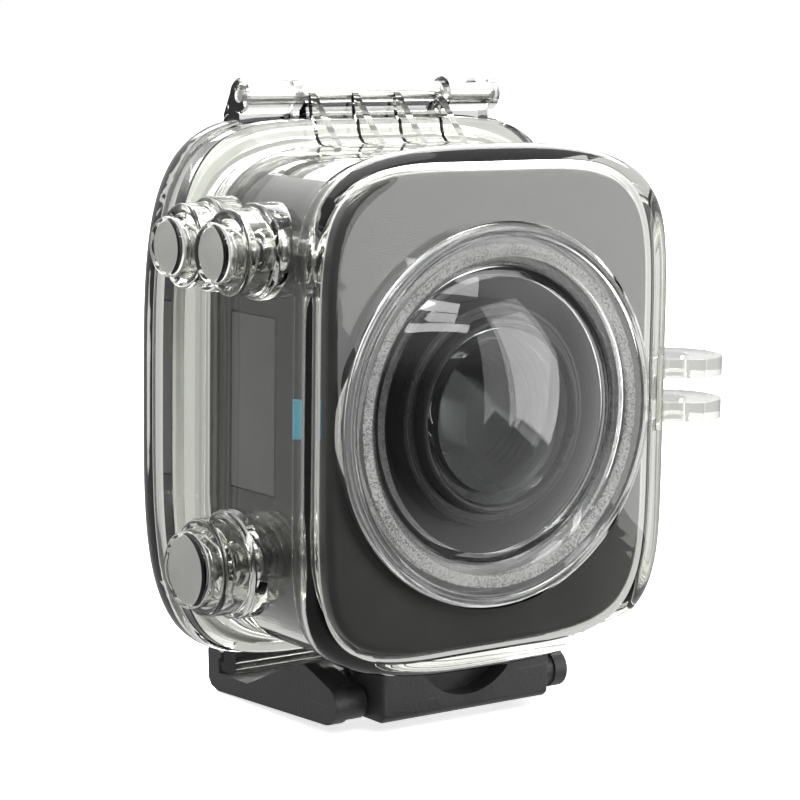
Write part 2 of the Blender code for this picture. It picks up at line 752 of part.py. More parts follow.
def build_latch_lever():
    centre = (0, LEVER_Y, LEVER_Z)
    side = [
        (LEVER_FRONT, LEVER_TOP),
        (LEVER_FRONT, LEVER_BOTTOM + 0.7),
        (LEVER_FRONT + 0.7, LEVER_BOTTOM),
        (12.4, LEVER_BOTTOM),
        (13.4, LEVER_BOTTOM + 1.0),
        (14.2, -39.0),
    ]
    side += arc(LEVER_Y, LEVER_Z, LUG_R, -70, 90)
    side += [(12.6, LEVER_TOP + 0.1)]
    lever = prism("latch_lever", side, -LEVER_HALF, LEVER_HALF, centre=centre, material=black)
    slots = []
    for i, turn in enumerate((-1, 1)):
        low, high = sorted((turn * (LUG_INNER - LUG_SLOT), turn * (LUG_OUTER + LUG_SLOT)))
        slots.append(box(f"lug_slot_{i}", (low, LEVER_Y - LUG_R - 0.6, -45),
                         (high, LEVER_Y + 6, -30), cutter=True))
    scoop = rod("finger_scoop", 9.5, 3.0, LEVER_FRONT + 3.2, "y", (0, 0, -30.6), cutter=True,
                steps=40)
    bore = rod("lever_bore", PIN_BORE, -20, 20, "x", centre, cutter=True)
    hook_bore = rod("hook_bore", PIN_BORE, -20, 20, "x", (0, HOOK_Y, HOOK_Z), cutter=True)
    middle = box("hook_bore_stop", (-LEVER_HALF + 4, HOOK_Y - 3, HOOK_Z - 3),
                 (LEVER_HALF - 4, HOOK_Y + 3, HOOK_Z + 3), cutter=True)
    boolean(hook_bore, "DIFFERENCE", [middle])
    add_bevel(lever, 0.35)
    boolean(lever, "DIFFERENCE", [*slots, scoop, bore, hook_bore])


def arm_outline():
    """Side view of a hook arm, from the round front end to the floor under the keeper."""
    side = arc(HOOK_Y, HOOK_Z, 2.75, 100, 265, 10)
    side += [(39.2, HOOK_BOTTOM), (41.0, HOOK_BOTTOM + 0.5), (HOOK_BACK - 0.2, HOOK_BOTTOM + 1.5)]
    side += [(HOOK_BACK, -38.1), (41.6, -37.7), (39.6, -37.7), (38.42, -38.0), (38.42, -38.8)]
    side += [(39.05, -39.1), (39.05, HOOK_FLOOR), (31.5, HOOK_FLOOR)]
    side += [(27.5, -39.3), (20.0, -35.9), (17.5, -35.3), (15.0, -36.0)]
    return side


def beam_outline():
    """Side view of the cross beam that joins the two arms behind and under the keeper."""
    return [
        (31.0, HOOK_FLOOR - 0.1), (31.0, -43.45), (39.2, HOOK_BOTTOM),
        (41.0, HOOK_BOTTOM + 0.5), (HOOK_BACK - 0.2, HOOK_BOTTOM + 1.5), (HOOK_BACK, -38.1),
        (41.6, -37.7), (39.6, -37.7), (38.42, -38.0), (38.42, -38.8), (39.05, -39.1),
        (39.05, HOOK_FLOOR - 0.1),
    ]


def build_latch_hook():
    centre = (0, HOOK_Y, HOOK_Z)
    hook = prism("latch_hook", beam_outline(), -ARM_OUTER + 0.5, ARM_OUTER - 0.5, centre=centre,
                 material=black)
    joined = []
    for name, side in (("right", 1), ("left", -1)):
        low, high = sorted((side * (ARM_OUTER - 2.2), side * ARM_OUTER))
        joined.append(prism("arm_" + name, arm_outline(), low, high, cutter=True))
        low, high = sorted((side * ARM_INNER, side * (ARM_OUTER - 1.0)))
        joined.append(rod("roller_" + name, 2.45, low, high, "x", centre, cutter=True))
        low, high = sorted((side * (ARM_INNER + 0.2), side * (ARM_OUTER - 1.0)))
        inner = [(HOOK_Y, -37.8), (HOOK_Y, -42.2), (33.0, -43.2), (33.0, HOOK_FLOOR - 0.2),
                 (31.0, HOOK_FLOOR - 0.2), (27.0, -39.6), (20.0, -36.6), (17.0, -36.4)]
        joined.append(prism("arm_core_" + name, inner, low, high, cutter=True))
    bore = rod("arm_bore", PIN_BORE, -ARM_OUTER + 0.9, ARM_OUTER - 0.9, "x", centre, cutter=True)
    boolean(hook, "UNION", joined)
    boolean(hook, "DIFFERENCE", [bore])


def build_pins():
    rod("hinge_pin", PIN_R, -KNUCKLE_OUTER + 0.3, KNUCKLE_OUTER - 0.3, "x",
        (0, HINGE_Y, HINGE_Z), steel)
    rod("latch_pin", PIN_R, -LEVER_HALF + 0.3, LEVER_HALF - 0.3, "x",
        (0, LEVER_Y, LEVER_Z), steel)
    for name, side in (("right", 1), ("left", -1)):
        low, high = sorted((side * (LEVER_HALF - 3.7), side * (ARM_OUTER - 1.2)))
        rod("hook_pin_" + name, PIN_R, low, high, "x", (0, HOOK_Y, HOOK_Z), steel)


HINGE = (0, HINGE_Y, HINGE_Z)

clear_scene()
parts = new_collection("action_camera")
cutters = new_collection("cutters")

clear = make_material("clear_polycarbonate", (0.90, 0.93, 0.92), 0.06, transmission=1.0)
frosted = make_material("frosted_polycarbonate", (0.82, 0.84, 0.83), 0.35, transmission=0.8)
glass = make_material("lens_glass", (0.05, 0.06, 0.08), 0.03, transmission=0.6)
rubber = make_material("black_rubber", (0.015, 0.015, 0.015), 0.75)
steel = make_material("steel", (0.62, 0.62, 0.60), 0.25, metallic=1.0)
grey = make_material("grey_plastic", (0.17, 0.17, 0.175), 0.5)
charcoal = make_material("charcoal_plastic", (0.045, 0.045, 0.048), 0.55)
light_grey = make_material("light_grey_plastic", (0.26, 0.26, 0.27), 0.5)
black = make_material("black_plastic", (0.02, 0.02, 0.022), 0.5)
black_metal = make_material("black_metal", (0.03, 0.03, 0.032), 0.35, metallic=0.8)
blue = make_material("blue_plastic", (0.04, 0.33, 0.52), 0.4)
board = make_material("circuit_board", (0.02, 0.10, 0.05), 0.5)
battery_wrap = make_material("battery_wrap", (0.10, 0.10, 0.11), 0.4)
pad = make_material("grey_silicone", (0.22, 0.22, 0.22), 0.8)

build_front_shell()
build_mount_fingers()
build_port()
build_lens()
build_camera_front()
build_camera_body()
build_side_trim()
build_camera_rear()
build_camera_inside()
build_back_door()
for button_name, button_y, button_z, button_cap_r, _ in BUTTONS:
    build_button(button_name, button_y, button_z, button_cap_r)
build_latch_lever()
build_latch_hook()
build_pins()
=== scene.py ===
import math
import bpy
from mathutils import Matrix, Vector


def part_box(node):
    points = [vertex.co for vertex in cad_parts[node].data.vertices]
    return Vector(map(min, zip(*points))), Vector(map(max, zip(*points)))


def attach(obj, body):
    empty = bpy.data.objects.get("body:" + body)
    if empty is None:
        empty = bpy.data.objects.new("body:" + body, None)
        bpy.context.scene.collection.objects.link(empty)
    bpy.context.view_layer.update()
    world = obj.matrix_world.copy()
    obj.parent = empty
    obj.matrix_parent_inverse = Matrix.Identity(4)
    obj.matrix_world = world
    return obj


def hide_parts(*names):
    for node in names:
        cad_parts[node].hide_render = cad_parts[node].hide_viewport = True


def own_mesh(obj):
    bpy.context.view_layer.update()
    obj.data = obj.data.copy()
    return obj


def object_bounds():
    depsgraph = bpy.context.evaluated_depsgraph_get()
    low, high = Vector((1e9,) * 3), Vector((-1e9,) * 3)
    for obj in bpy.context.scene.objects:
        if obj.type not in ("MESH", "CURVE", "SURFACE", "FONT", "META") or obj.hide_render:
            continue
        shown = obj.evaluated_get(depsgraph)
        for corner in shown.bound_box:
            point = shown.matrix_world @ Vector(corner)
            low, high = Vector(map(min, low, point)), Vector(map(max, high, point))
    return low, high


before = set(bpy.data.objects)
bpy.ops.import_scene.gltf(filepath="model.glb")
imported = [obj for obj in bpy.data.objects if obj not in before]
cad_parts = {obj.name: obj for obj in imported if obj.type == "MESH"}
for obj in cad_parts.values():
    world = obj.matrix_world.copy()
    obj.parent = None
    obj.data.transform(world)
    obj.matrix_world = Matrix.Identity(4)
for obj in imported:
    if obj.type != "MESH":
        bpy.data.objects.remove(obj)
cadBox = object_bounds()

mm = 0.001
lensLow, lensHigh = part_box("lens_barrel")
shellLow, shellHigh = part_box("front_shell")
baseLow, baseHigh = cadBox
lensX = (lensLow.x + lensHigh.x) / 2  # lens axis, and the front face of the housing
lensZ = (lensLow.z + lensHigh.z) / 2
faceY = shellLow.y
origin = Vector((lensX, faceY, lensZ))


def place(x, y, z):
    return origin + Vector((x, y, z)) * mm  # millimetres from the lens axis and the front face


def pickOnly(piece):
    for other in bpy.context.selected_objects:
        other.select_set(False)
    piece.select_set(True)
    bpy.context.view_layer.objects.active = piece


def clearPick():
    for other in bpy.context.selected_objects:
        other.select_set(False)


def cleanUp(piece, fill=False):
    pickOnly(piece)
    bpy.ops.object.mode_set(mode="EDIT")
    bpy.ops.mesh.select_all(action="SELECT")
    bpy.ops.mesh.remove_doubles(threshold=0.000002)
    if fill:
        bpy.ops.mesh.select_all(action="SELECT")
        bpy.ops.mesh.fill_holes(sides=0)
    bpy.ops.mesh.select_all(action="SELECT")
    bpy.ops.mesh.normals_make_consistent(inside=False)
    bpy.ops.object.mode_set(mode="OBJECT")


def smoothOut(piece, degrees=35):
    pickOnly(piece)
    bpy.ops.object.shade_smooth_by_angle(angle=math.radians(degrees))


def evenNormals(piece):
    weighted = piece.modifiers.new("FaceWeights", "WEIGHTED_NORMAL")
    weighted.keep_sharp = True
    pickOnly(piece)
    bpy.ops.object.modifier_apply(modifier=weighted.name)


def roundedSquare(shape, inset, count):
    halfW, halfH, powW, powH, midZ = shape
    ring = []
    for i in range(count):
        turn = 2 * math.pi * i / count
        c, s = math.cos(turn), math.sin(turn)
        x = math.copysign(abs(c) ** (2 / powW), c) * (halfW - inset)
        z = math.copysign(abs(s) ** (2 / powH), s) * (halfH - inset)
        ring.append((x, z + midZ))
    return ring


# A grid is rolled up into a tube through the sections and its ends are closed
def loftPiece(name, sections, count=176):
    clearPick()
    bpy.ops.mesh.primitive_grid_add(x_subdivisions=count, y_subdivisions=len(sections) - 1, size=1)
    piece = bpy.context.active_object
    piece.name = name
    for j, (y, shape, inset) in enumerate(sections):
        ring = roundedSquare(shape, inset, count)
        for i in range(count + 1):
            x, z = ring[i % count]
            piece.data.vertices[j * (count + 1) + i].co = place(x, y, z)
    cleanUp(piece, fill=True)
    return piece


# A closed profile of (radius, distance along the axis), spun right round
def turnedPiece(name, profile, axis="y", centre=(0, 0), steps=96):
    clearPick()
    bpy.ops.mesh.primitive_circle_add(vertices=len(profile), radius=0.001)
    piece = bpy.context.active_object
    piece.name = name
    for vertex, (radius, along) in zip(piece.data.vertices, profile):
        if axis == "y":
            vertex.co = place(centre[0] + radius, along, centre[1])
        elif axis == "x":
            vertex.co = place(along, centre[0] + radius, centre[1])
        else:
            vertex.co = place(centre[0] + radius, centre[1], along)
    if axis == "y":
        middle, direction = place(centre[0], 0, centre[1]), (0, 1, 0)
    elif axis == "x":
        middle, direction = place(0, centre[0], centre[1]), (1, 0, 0)
    else:
        middle, direction = place(centre[0], centre[1], 0), (0, 0, 1)
    bpy.ops.object.mode_set(mode="EDIT")
    bpy.ops.mesh.select_all(action="SELECT")
    bpy.ops.mesh.spin(steps=steps, angle=2 * math.pi, center=middle, axis=direction)
    bpy.ops.object.mode_set(mode="OBJECT")
    cleanUp(piece)
    return piece


def rodPiece(name, radius, low, high, axis, centre, steps=48, chamfer=0.0):
    profile = [(0, low), (radius - chamfer, low)]
    if chamfer:
        profile += [(radius, low + chamfer), (radius, high - chamfer)]
    profile += [(radius - chamfer if chamfer else radius, high), (0, high)]
    return turnedPiece(name, profile, axis, centre, steps)


# A flat outline pushed out along an axis: (y, z) points along x, or (x, y) points along z
def platePiece(name, outline, low, high, axis="x"):
    clearPick()
    bpy.ops.mesh.primitive_circle_add(vertices=len(outline), radius=0.001, fill_type="NGON")
    piece = bpy.context.active_object
    piece.name = name
    for vertex, (a, b) in zip(piece.data.vertices, outline):
        vertex.co = place(low, a, b) if axis == "x" else place(a, b, low)
    push = Vector((high - low, 0, 0)) if axis == "x" else Vector((0, 0, high - low))
    bpy.ops.object.mode_set(mode="EDIT")
    bpy.ops.mesh.select_all(action="SELECT")
    bpy.ops.mesh.extrude_region_move(TRANSFORM_OT_translate={"value": push * mm})
    bpy.ops.object.mode_set(mode="OBJECT")
    cleanUp(piece)
    return piece


def blockPiece(name, low, high):
    outline = [(low[1], low[2]), (high[1], low[2]), (high[1], high[2]), (low[1], high[2])]
    return platePiece(name, outline, low[0], high[0])


def arcPoints(a, b, radius, start, end, steps=16):
    points = []
    for i in range(steps + 1):
        turn = math.radians(start + (end - start) * i / steps)
        points.append((a + radius * math.cos(turn), b + radius * math.sin(turn)))
    return points


def combine(piece, others, operation):
    for other in others:
        step = piece.modifiers.new(operation, "BOOLEAN")
        step.operation = operation
        step.solver = "EXACT"
        step.object = other
        pickOnly(piece)
        bpy.ops.object.modifier_apply(modifier=step.name)
        bpy.data.objects.remove(other, do_unlink=True)
    return piece


def roundEdges(piece, width, segments=3, degrees=30):
    bevel = piece.modifiers.new("SoftEdges", "BEVEL")
    bevel.width = width * mm
    bevel.segments = segments
    bevel.limit_method = "ANGLE"
    bevel.angle_limit = math.radians(degrees)
    bevel.harden_normals = False
    pickOnly(piece)
    bpy.ops.object.modifier_apply(modifier=bevel.name)


# A copy of a frame node, joined up, cleared of loose triangles and given soft edges
def softCopy(name, node, width, segments=3):
    piece = bpy.data.objects.new(name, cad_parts[node].data.copy())
    bpy.context.scene.collection.objects.link(piece)
    pickOnly(piece)
    bpy.ops.object.mode_set(mode="EDIT")
    bpy.ops.mesh.select_all(action="SELECT")
    bpy.ops.mesh.remove_doubles(threshold=0.000005)
    if width:
        bpy.ops.mesh.select_all(action="SELECT")
        bpy.ops.mesh.dissolve_limited(angle_limit=math.radians(2))
    bpy.ops.object.mode_set(mode="OBJECT")
    if width:
        roundEdges(piece, width, segments)
    return piece


def splitWideFaces(piece):
    cut = piece.modifiers.new("WideFaces", "TRIANGULATE")
    cut.min_vertices = 5
    pickOnly(piece)
    bpy.ops.object.modifier_apply(modifier=cut.name)


def finishPiece(piece, body, material, *nodes, degrees=35, slot=None, weighted=True):
    splitWideFaces(piece)
    smoothOut(piece, degrees)
    if weighted:
        evenNormals(piece)
    piece.data.materials.clear()
    piece.data.materials.append(material)
    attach(piece, body)
    if nodes:
        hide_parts(*nodes)
    return piece


def newGroup(name, inputs, outputs):
    group = bpy.data.node_groups.new(name, "ShaderNodeTree")
    for label, kind, value in inputs:
        socket = group.interface.new_socket(label, in_out="INPUT", socket_type=kind)
        socket.default_value = value
    for label, kind in outputs:
        group.interface.new_socket(label, in_out="OUTPUT", socket_type=kind)
    start = group.nodes.new("NodeGroupInput")
    end = group.nodes.new("NodeGroupOutput")
    return group, start, end


def addNode(tree, kind, **values):
    node = tree.nodes.new(kind)
    for key, value in values.items():
        setattr(node, key, value)
    return node


def noiseNode(tree, scale, detail, roughness=0.5, distortion=0.0):
    node = addNode(tree, "ShaderNodeTexNoise")
    node.inputs["Scale"].default_value = scale
    node.inputs["Detail"].default_value = detail
    node.inputs["Roughness"].default_value = roughness
    node.inputs["Distortion"].default_value = distortion
    return node


def rangeNode(tree, source, low, high, toLow=0.0, toHigh=1.0):
    node = addNode(tree, "ShaderNodeMapRange", interpolation_type="SMOOTHSTEP")
    tree.links.new(source, node.inputs["Value"])
    node.inputs["From Min"].default_value = low
    node.inputs["From Max"].default_value = high
    node.inputs["To Min"].default_value = toLow
    node.inputs["To Max"].default_value = toHigh
    return node.outputs["Result"]


def mathNode(tree, operation, first, second):
    node = addNode(tree, "ShaderNodeMath", operation=operation)
    for socket, value in zip(node.inputs, (first, second)):
        if isinstance(value, (int, float)):
            socket.default_value = value
        else:
            tree.links.new(value, socket)
    return node.outputs[0]


# Moulded grain: a height, and a slow mottle for colour and roughness
def buildGrainGroup():
    group, start, end = newGroup(
        "mouldedGrain",
        [("Vector", "NodeSocketVector", (0, 0, 0)), ("Grain Scale", "NodeSocketFloat", 2600.0)],
        [("Height", "NodeSocketFloat"), ("Mottle", "NodeSocketFloat")],
    )
    fine = noiseNode(group, 2600, 3, 0.62)
    coarse = noiseNode(group, 95, 4, 0.55, 0.4)
    group.links.new(start.outputs["Vector"], fine.inputs["Vector"])
    group.links.new(start.outputs["Grain Scale"], fine.inputs["Scale"])
    group.links.new(start.outputs["Vector"], coarse.inputs["Vector"])
    height = rangeNode(group, fine.outputs["Fac"], 0.32, 0.68)
    group.links.new(height, end.inputs["Height"])
    group.links.new(coarse.outputs["Fac"], end.inputs["Mottle"])
    return group


# Handling marks: sparse fine scratches in two directions, and specks of dust
def buildScuffGroup():
    group, start, end = newGroup(
        "handlingMarks",
        [("Vector", "NodeSocketVector", (0, 0, 0))],
        [("Scratches", "NodeSocketFloat"), ("Dust", "NodeSocketFloat")],
    )
    lines = []
    for tilt, stretch in ((0.6, (9, 900, 60)), (2.1, (60, 9, 900))):
        turn = addNode(group, "ShaderNodeMapping")
        turn.inputs["Rotation"].default_value = (tilt, tilt * 0.7, tilt * 0.4)
        turn.inputs["Scale"].default_value = stretch
        streak = noiseNode(group, 1.6, 2, 0.5)
        group.links.new(start.outputs["Vector"], turn.inputs["Vector"])
        group.links.new(turn.outputs["Vector"], streak.inputs["Vector"])
        lines.append(rangeNode(group, streak.outputs["Fac"], 0.70, 0.76))
    both = mathNode(group, "MAXIMUM", lines[0], lines[1])
    specks = addNode(group, "ShaderNodeTexVoronoi", feature="F1")
    specks.inputs["Scale"].default_value = 420
    specks.inputs["Randomness"].default_value = 1.0
    group.links.new(start.outputs["Vector"], specks.inputs["Vector"])
    dust = rangeNode(group, specks.outputs["Distance"], 0.05, 0.10, 1.0, 0.0)
    group.links.new(both, end.inputs["Scratches"])
    group.links.new(dust, end.inputs["Dust"])
    return group


grainGroup = buildGrainGroup()
scuffGroup = buildScuffGroup()


def newSurface(name):
    surface = bpy.data.materials.new(name)
    surface.use_nodes = True
    tree = surface.node_tree
    shader = tree.nodes["Principled BSDF"]
    coords = addNode(tree, "ShaderNodeTexCoord")
    return surface, tree, shader, coords.outputs["Object"]


def colourMix(tree, factor, first, second):
    mix = addNode(tree, "ShaderNodeMix", data_type="RGBA")
    colourInputs = [s for s in mix.inputs if s.type == "RGBA"]
    tree.links.new(factor, mix.inputs["Factor"])
    for socket, value in zip(colourInputs, (first, second)):
        if isinstance(value, tuple):
            socket.default_value = (*value, 1.0)
        else:
            tree.links.new(value, socket)
    return [s for s in mix.outputs if s.type == "RGBA"][0]


def bumpFrom(tree, shader, height, strength, distance):
    bump = addNode(tree, "ShaderNodeBump")
    bump.inputs["Strength"].default_value = strength
    bump.inputs["Distance"].default_value = distance * mm
    tree.links.new(height, bump.inputs["Height"])
    tree.links.new(bump.outputs["Normal"], shader.inputs["Normal"])
    return bump


# Opaque moulded plastic or rubber with grain, mottle and a little handling wear
def plasticSurface(name, settings):
    surface, tree, shader, where = newSurface(name)
    grain = addNode(tree, "ShaderNodeGroup", node_tree=grainGroup)
    scuff = addNode(tree, "ShaderNodeGroup", node_tree=scuffGroup)
    grain.inputs["Grain Scale"].default_value = settings["grainScale"]
    tree.links.new(where, grain.inputs["Vector"])
    tree.links.new(where, scuff.inputs["Vector"])
    mottled = colourMix(tree, rangeNode(tree, grain.outputs["Mottle"], 0.3, 0.7),
                        settings["dark"], settings["light"])
    worn = colourMix(tree, mathNode(tree, "MULTIPLY", scuff.outputs["Scratches"],
                                    settings["wear"]), mottled, settings["scratch"])
    tree.links.new(worn, shader.inputs["Base Color"])
    rough = rangeNode(tree, grain.outputs["Mottle"], 0.25, 0.75, settings["rough"][0],
                      settings["rough"][1])
    tree.links.new(rough, shader.inputs["Roughness"])
    shader.inputs["Metallic"].default_value = settings.get("metallic", 0.0)
    shader.inputs["Specular IOR Level"].default_value = settings.get("specular", 0.5)
    bumpFrom(tree, shader, grain.outputs["Height"], settings["bump"], settings["depth"])
    return surface


# Moulded clear plastic: slight flow lines, faint scratches; light passes to what's inside
def clearSurface(name, settings):
    surface, tree, shader, where = newSurface(name)
    scuff = addNode(tree, "ShaderNodeGroup", node_tree=scuffGroup)
    tree.links.new(where, scuff.inputs["Vector"])
    flow = noiseNode(tree, settings["flowScale"], 2, 0.4, 0.6)
    tree.links.new(where, flow.inputs["Vector"])
    tinted = colourMix(tree, flow.outputs["Fac"], settings["tintA"], settings["tintB"])
    tree.links.new(tinted, shader.inputs["Base Color"])
    rough = mathNode(tree, "ADD", settings["rough"],
                     mathNode(tree, "MULTIPLY", scuff.outputs["Scratches"], settings["scuff"]))
    tree.links.new(rough, shader.inputs["Roughness"])
    shader.inputs["Transmission Weight"].default_value = 1.0
    shader.inputs["IOR"].default_value = settings["ior"]
    bumpFrom(tree, shader, flow.outputs["Fac"], settings["bump"], settings["depth"])
    letThrough(tree, shader, settings["shade"])
    return surface


# Shadow rays pass, so that the inside is lit as it is through real clear plastic
def letThrough(tree, shader, shade):
    rays = addNode(tree, "ShaderNodeLightPath")
    open_ = addNode(tree, "ShaderNodeBsdfTransparent")
    open_.inputs["Color"].default_value = (*shade, 1.0)
    mix = addNode(tree, "ShaderNodeMixShader")
    output = tree.nodes["Material Output"]
    tree.links.new(rays.outputs["Is Shadow Ray"], mix.inputs[0])
    tree.links.new(shader.outputs[0], mix.inputs[1])
    tree.links.new(open_.outputs["BSDF"], mix.inputs[2])
    tree.links.new(mix.outputs["Shader"], output.inputs["Surface"])


clearHousing = clearSurface("clearHousing", {
    "tintA": (0.95, 0.955, 0.915), "tintB": (0.975, 0.98, 0.945), "flowScale": 55,
    "rough": 0.012, "scuff": 0.04, "ior": 1.45, "bump": 0.10, "depth": 0.25,
    "shade": (0.93, 0.94, 0.93),
})
clearWindow = clearSurface("clearWindow", {
    "tintA": (0.975, 0.98, 0.975), "tintB": (0.99, 0.995, 0.99), "flowScale": 30,
    "rough": 0.004, "scuff": 0.01, "ior": 1.49, "bump": 0.02, "depth": 0.1,
    "shade": (0.95, 0.95, 0.95),
})
clearButton = clearSurface("clearButton", {
    "tintA": (0.95, 0.955, 0.925), "tintB": (0.975, 0.98, 0.95), "flowScale": 80,
    "rough": 0.015, "scuff": 0.04, "ior": 1.45, "bump": 0.05, "depth": 0.15,
    "shade": (0.93, 0.93, 0.93),
})
lensGlass = clearSurface("lensGlass", {
    "tintA": (0.50, 0.52, 0.51), "tintB": (0.54, 0.56, 0.55), "flowScale": 20,
    "rough": 0.002, "scuff": 0.004, "ior": 1.42, "bump": 0.0, "depth": 0.02,
    "shade": (0.7, 0.72, 0.7),
})
greyPlastic = plasticSurface("greyPlastic", {
    "dark": (0.022, 0.022, 0.023), "light": (0.031, 0.031, 0.032), "scratch": (0.08, 0.08, 0.08),
    "wear": 0.15, "rough": (0.32, 0.42), "grainScale": 2400, "bump": 0.12, "depth": 0.02,
    "specular": 0.35,
})
charcoalPlastic = plasticSurface("charcoalPlastic", {
    "dark": (0.045, 0.045, 0.046), "light": (0.062, 0.062, 0.063), "scratch": (0.1, 0.1, 0.1),
    "wear": 0.15, "rough": (0.48, 0.62), "grainScale": 2200, "bump": 0.3, "depth": 0.05,
})
panelPlastic = plasticSurface("panelPlastic", {
    "dark": (0.15, 0.15, 0.153), "light": (0.185, 0.185, 0.188), "scratch": (0.2, 0.2, 0.2),
    "wear": 0.1, "rough": (0.45, 0.6), "grainScale": 2600, "bump": 0.2, "depth": 0.03,
    "specular": 0.25,
})
latchPlastic = plasticSurface("latchPlastic", {
    "dark": (0.012, 0.012, 0.0125), "light": (0.02, 0.02, 0.021), "scratch": (0.08, 0.08, 0.08),
    "wear": 0.25, "rough": (0.36, 0.5), "grainScale": 1900, "bump": 0.35, "depth": 0.05,
})
lensBlack = plasticSurface("lensBlack", {
    "dark": (0.004, 0.004, 0.0042), "light": (0.007, 0.007, 0.0073), "scratch": (0.04, 0.04, 0.04),
    "wear": 0.1, "rough": (0.45, 0.6), "grainScale": 3000, "bump": 0.2, "depth": 0.02,
    "specular": 0.2,
})
ringMetal = plasticSurface("ringMetal", {
    "dark": (0.010, 0.010, 0.0105), "light": (0.018, 0.018, 0.0185), "scratch": (0.2, 0.2, 0.2),
    "wear": 0.2, "rough": (0.26, 0.38), "grainScale": 3200, "bump": 0.12, "depth": 0.02,
    "metallic": 0.1, "specular": 0.35,
})
blackRubber = plasticSurface("blackRubber", {
    "dark": (0.008, 0.008, 0.008), "light": (0.014, 0.014, 0.014), "scratch": (0.03, 0.03, 0.03),
    "wear": 0.1, "rough": (0.6, 0.8), "grainScale": 1500, "bump": 0.3, "depth": 0.04,
    "specular": 0.35,
})
brightSteel = plasticSurface("brightSteel", {
    "dark": (0.55, 0.55, 0.54), "light": (0.68, 0.68, 0.67), "scratch": (0.8, 0.8, 0.8),
    "wear": 0.4, "rough": (0.16, 0.28), "grainScale": 2000, "bump": 0.08, "depth": 0.02,
    "metallic": 1.0,
})
satinGrey = plasticSurface("satinGrey", {
    "dark": (0.56, 0.56, 0.56), "light": (0.66, 0.66, 0.655), "scratch": (0.5, 0.5, 0.5),
    "wear": 0.15, "rough": (0.28, 0.36), "grainScale": 2400, "bump": 0.1, "depth": 0.02,
    "metallic": 0.5,
})
blueAccent = plasticSurface("blueAccent", {
    "dark": (0.03, 0.42, 0.60), "light": (0.05, 0.50, 0.70), "scratch": (0.3, 0.5, 0.6),
    "wear": 0.1, "rough": (0.35, 0.45), "grainScale": 2400, "bump": 0.15, "depth": 0.03,
})
boardGreen = plasticSurface("boardGreen", {
    "dark": (0.012, 0.07, 0.03), "light": (0.02, 0.10, 0.045), "scratch": (0.3, 0.25, 0.1),
    "wear": 0.5, "rough": (0.35, 0.5), "grainScale": 900, "bump": 0.3, "depth": 0.05,
})
batteryWrap = plasticSurface("batteryWrap", {
    "dark": (0.07, 0.07, 0.075), "light": (0.10, 0.10, 0.105), "scratch": (0.2, 0.2, 0.2),
    "wear": 0.2, "rough": (0.35, 0.5), "grainScale": 1200, "bump": 0.15, "depth": 0.04,
})
padSilicone = plasticSurface("padSilicone", {
    "dark": (0.30, 0.30, 0.295), "light": (0.37, 0.37, 0.365), "scratch": (0.45, 0.45, 0.45),
    "wear": 0.1, "rough": (0.6, 0.75), "grainScale": 1100, "bump": 0.3, "depth": 0.05,
})
milkySilicone = plasticSurface("milkySilicone", {
    "dark": (0.74, 0.745, 0.72), "light": (0.82, 0.825, 0.80), "scratch": (0.85, 0.85, 0.85),
    "wear": 0.1, "rough": (0.45, 0.6), "grainScale": 1300, "bump": 0.15, "depth": 0.03,
})
print("materials ready")


# The port ring: clear plastic with a speckled band on its inner slope
def frostedRingSurface():
    surface, tree, shader, where = newSurface("frostedRing")
    centred = addNode(tree, "ShaderNodeMapping")
    centred.inputs["Location"].default_value = (-origin.x, -origin.y, -origin.z)
    tree.links.new(where, centred.inputs["Vector"])
    split = addNode(tree, "ShaderNodeSeparateXYZ")
    tree.links.new(centred.outputs["Vector"], split.inputs["Vector"])
    across = mathNode(tree, "MULTIPLY", split.outputs["X"], split.outputs["X"])
    upward = mathNode(tree, "MULTIPLY", split.outputs["Z"], split.outputs["Z"])
    radius = mathNode(tree, "SQRT", mathNode(tree, "ADD", across, upward), 0.0)
    insideEdge = rangeNode(tree, radius, 21.7 * mm, 21.95 * mm)
    outsideEdge = rangeNode(tree, radius, 23.4 * mm, 23.65 * mm, 1.0, 0.0)
    band = mathNode(tree, "MULTIPLY", insideEdge, outsideEdge)
    specks = noiseNode(tree, 5200, 2, 0.6)
    tree.links.new(where, specks.inputs["Vector"])
    cloud = noiseNode(tree, 140, 3, 0.6, 0.5)
    tree.links.new(where, cloud.inputs["Vector"])
    speckle = rangeNode(tree, specks.outputs["Fac"], 0.36, 0.66, 0.35, 1.0)
    cloudy = rangeNode(tree, cloud.outputs["Fac"], 0.38, 0.62, 0.7, 1.0)
    frost = mathNode(tree, "MULTIPLY", band, mathNode(tree, "MULTIPLY", speckle, cloudy))
    tree.links.new(rangeNode(tree, frost, 0.0, 1.0, 0.02, 0.55), shader.inputs["Roughness"])
    tinted = colourMix(tree, band, (0.97, 0.975, 0.97), (0.88, 0.89, 0.88))
    tree.links.new(tinted, shader.inputs["Base Color"])
    shader.inputs["Transmission Weight"].default_value = 1.0
    shader.inputs["IOR"].default_value = 1.5
    bumpFrom(tree, shader, frost, 0.35, 0.08)
    milky = addNode(tree, "ShaderNodeBsdfPrincipled")
    milky.inputs["Base Color"].default_value = (0.42, 0.42, 0.41, 1)
    milky.inputs["Roughness"].default_value = 0.6
    blend = addNode(tree, "ShaderNodeMixShader")
    tree.links.new(rangeNode(tree, frost, 0.0, 1.0, 0.06, 0.5), blend.inputs[0])
    tree.links.new(shader.outputs["BSDF"], blend.inputs[1])
    tree.links.new(milky.outputs["BSDF"], blend.inputs[2])
    letThrough(tree, blend, (0.9, 0.9, 0.9))
    return surface


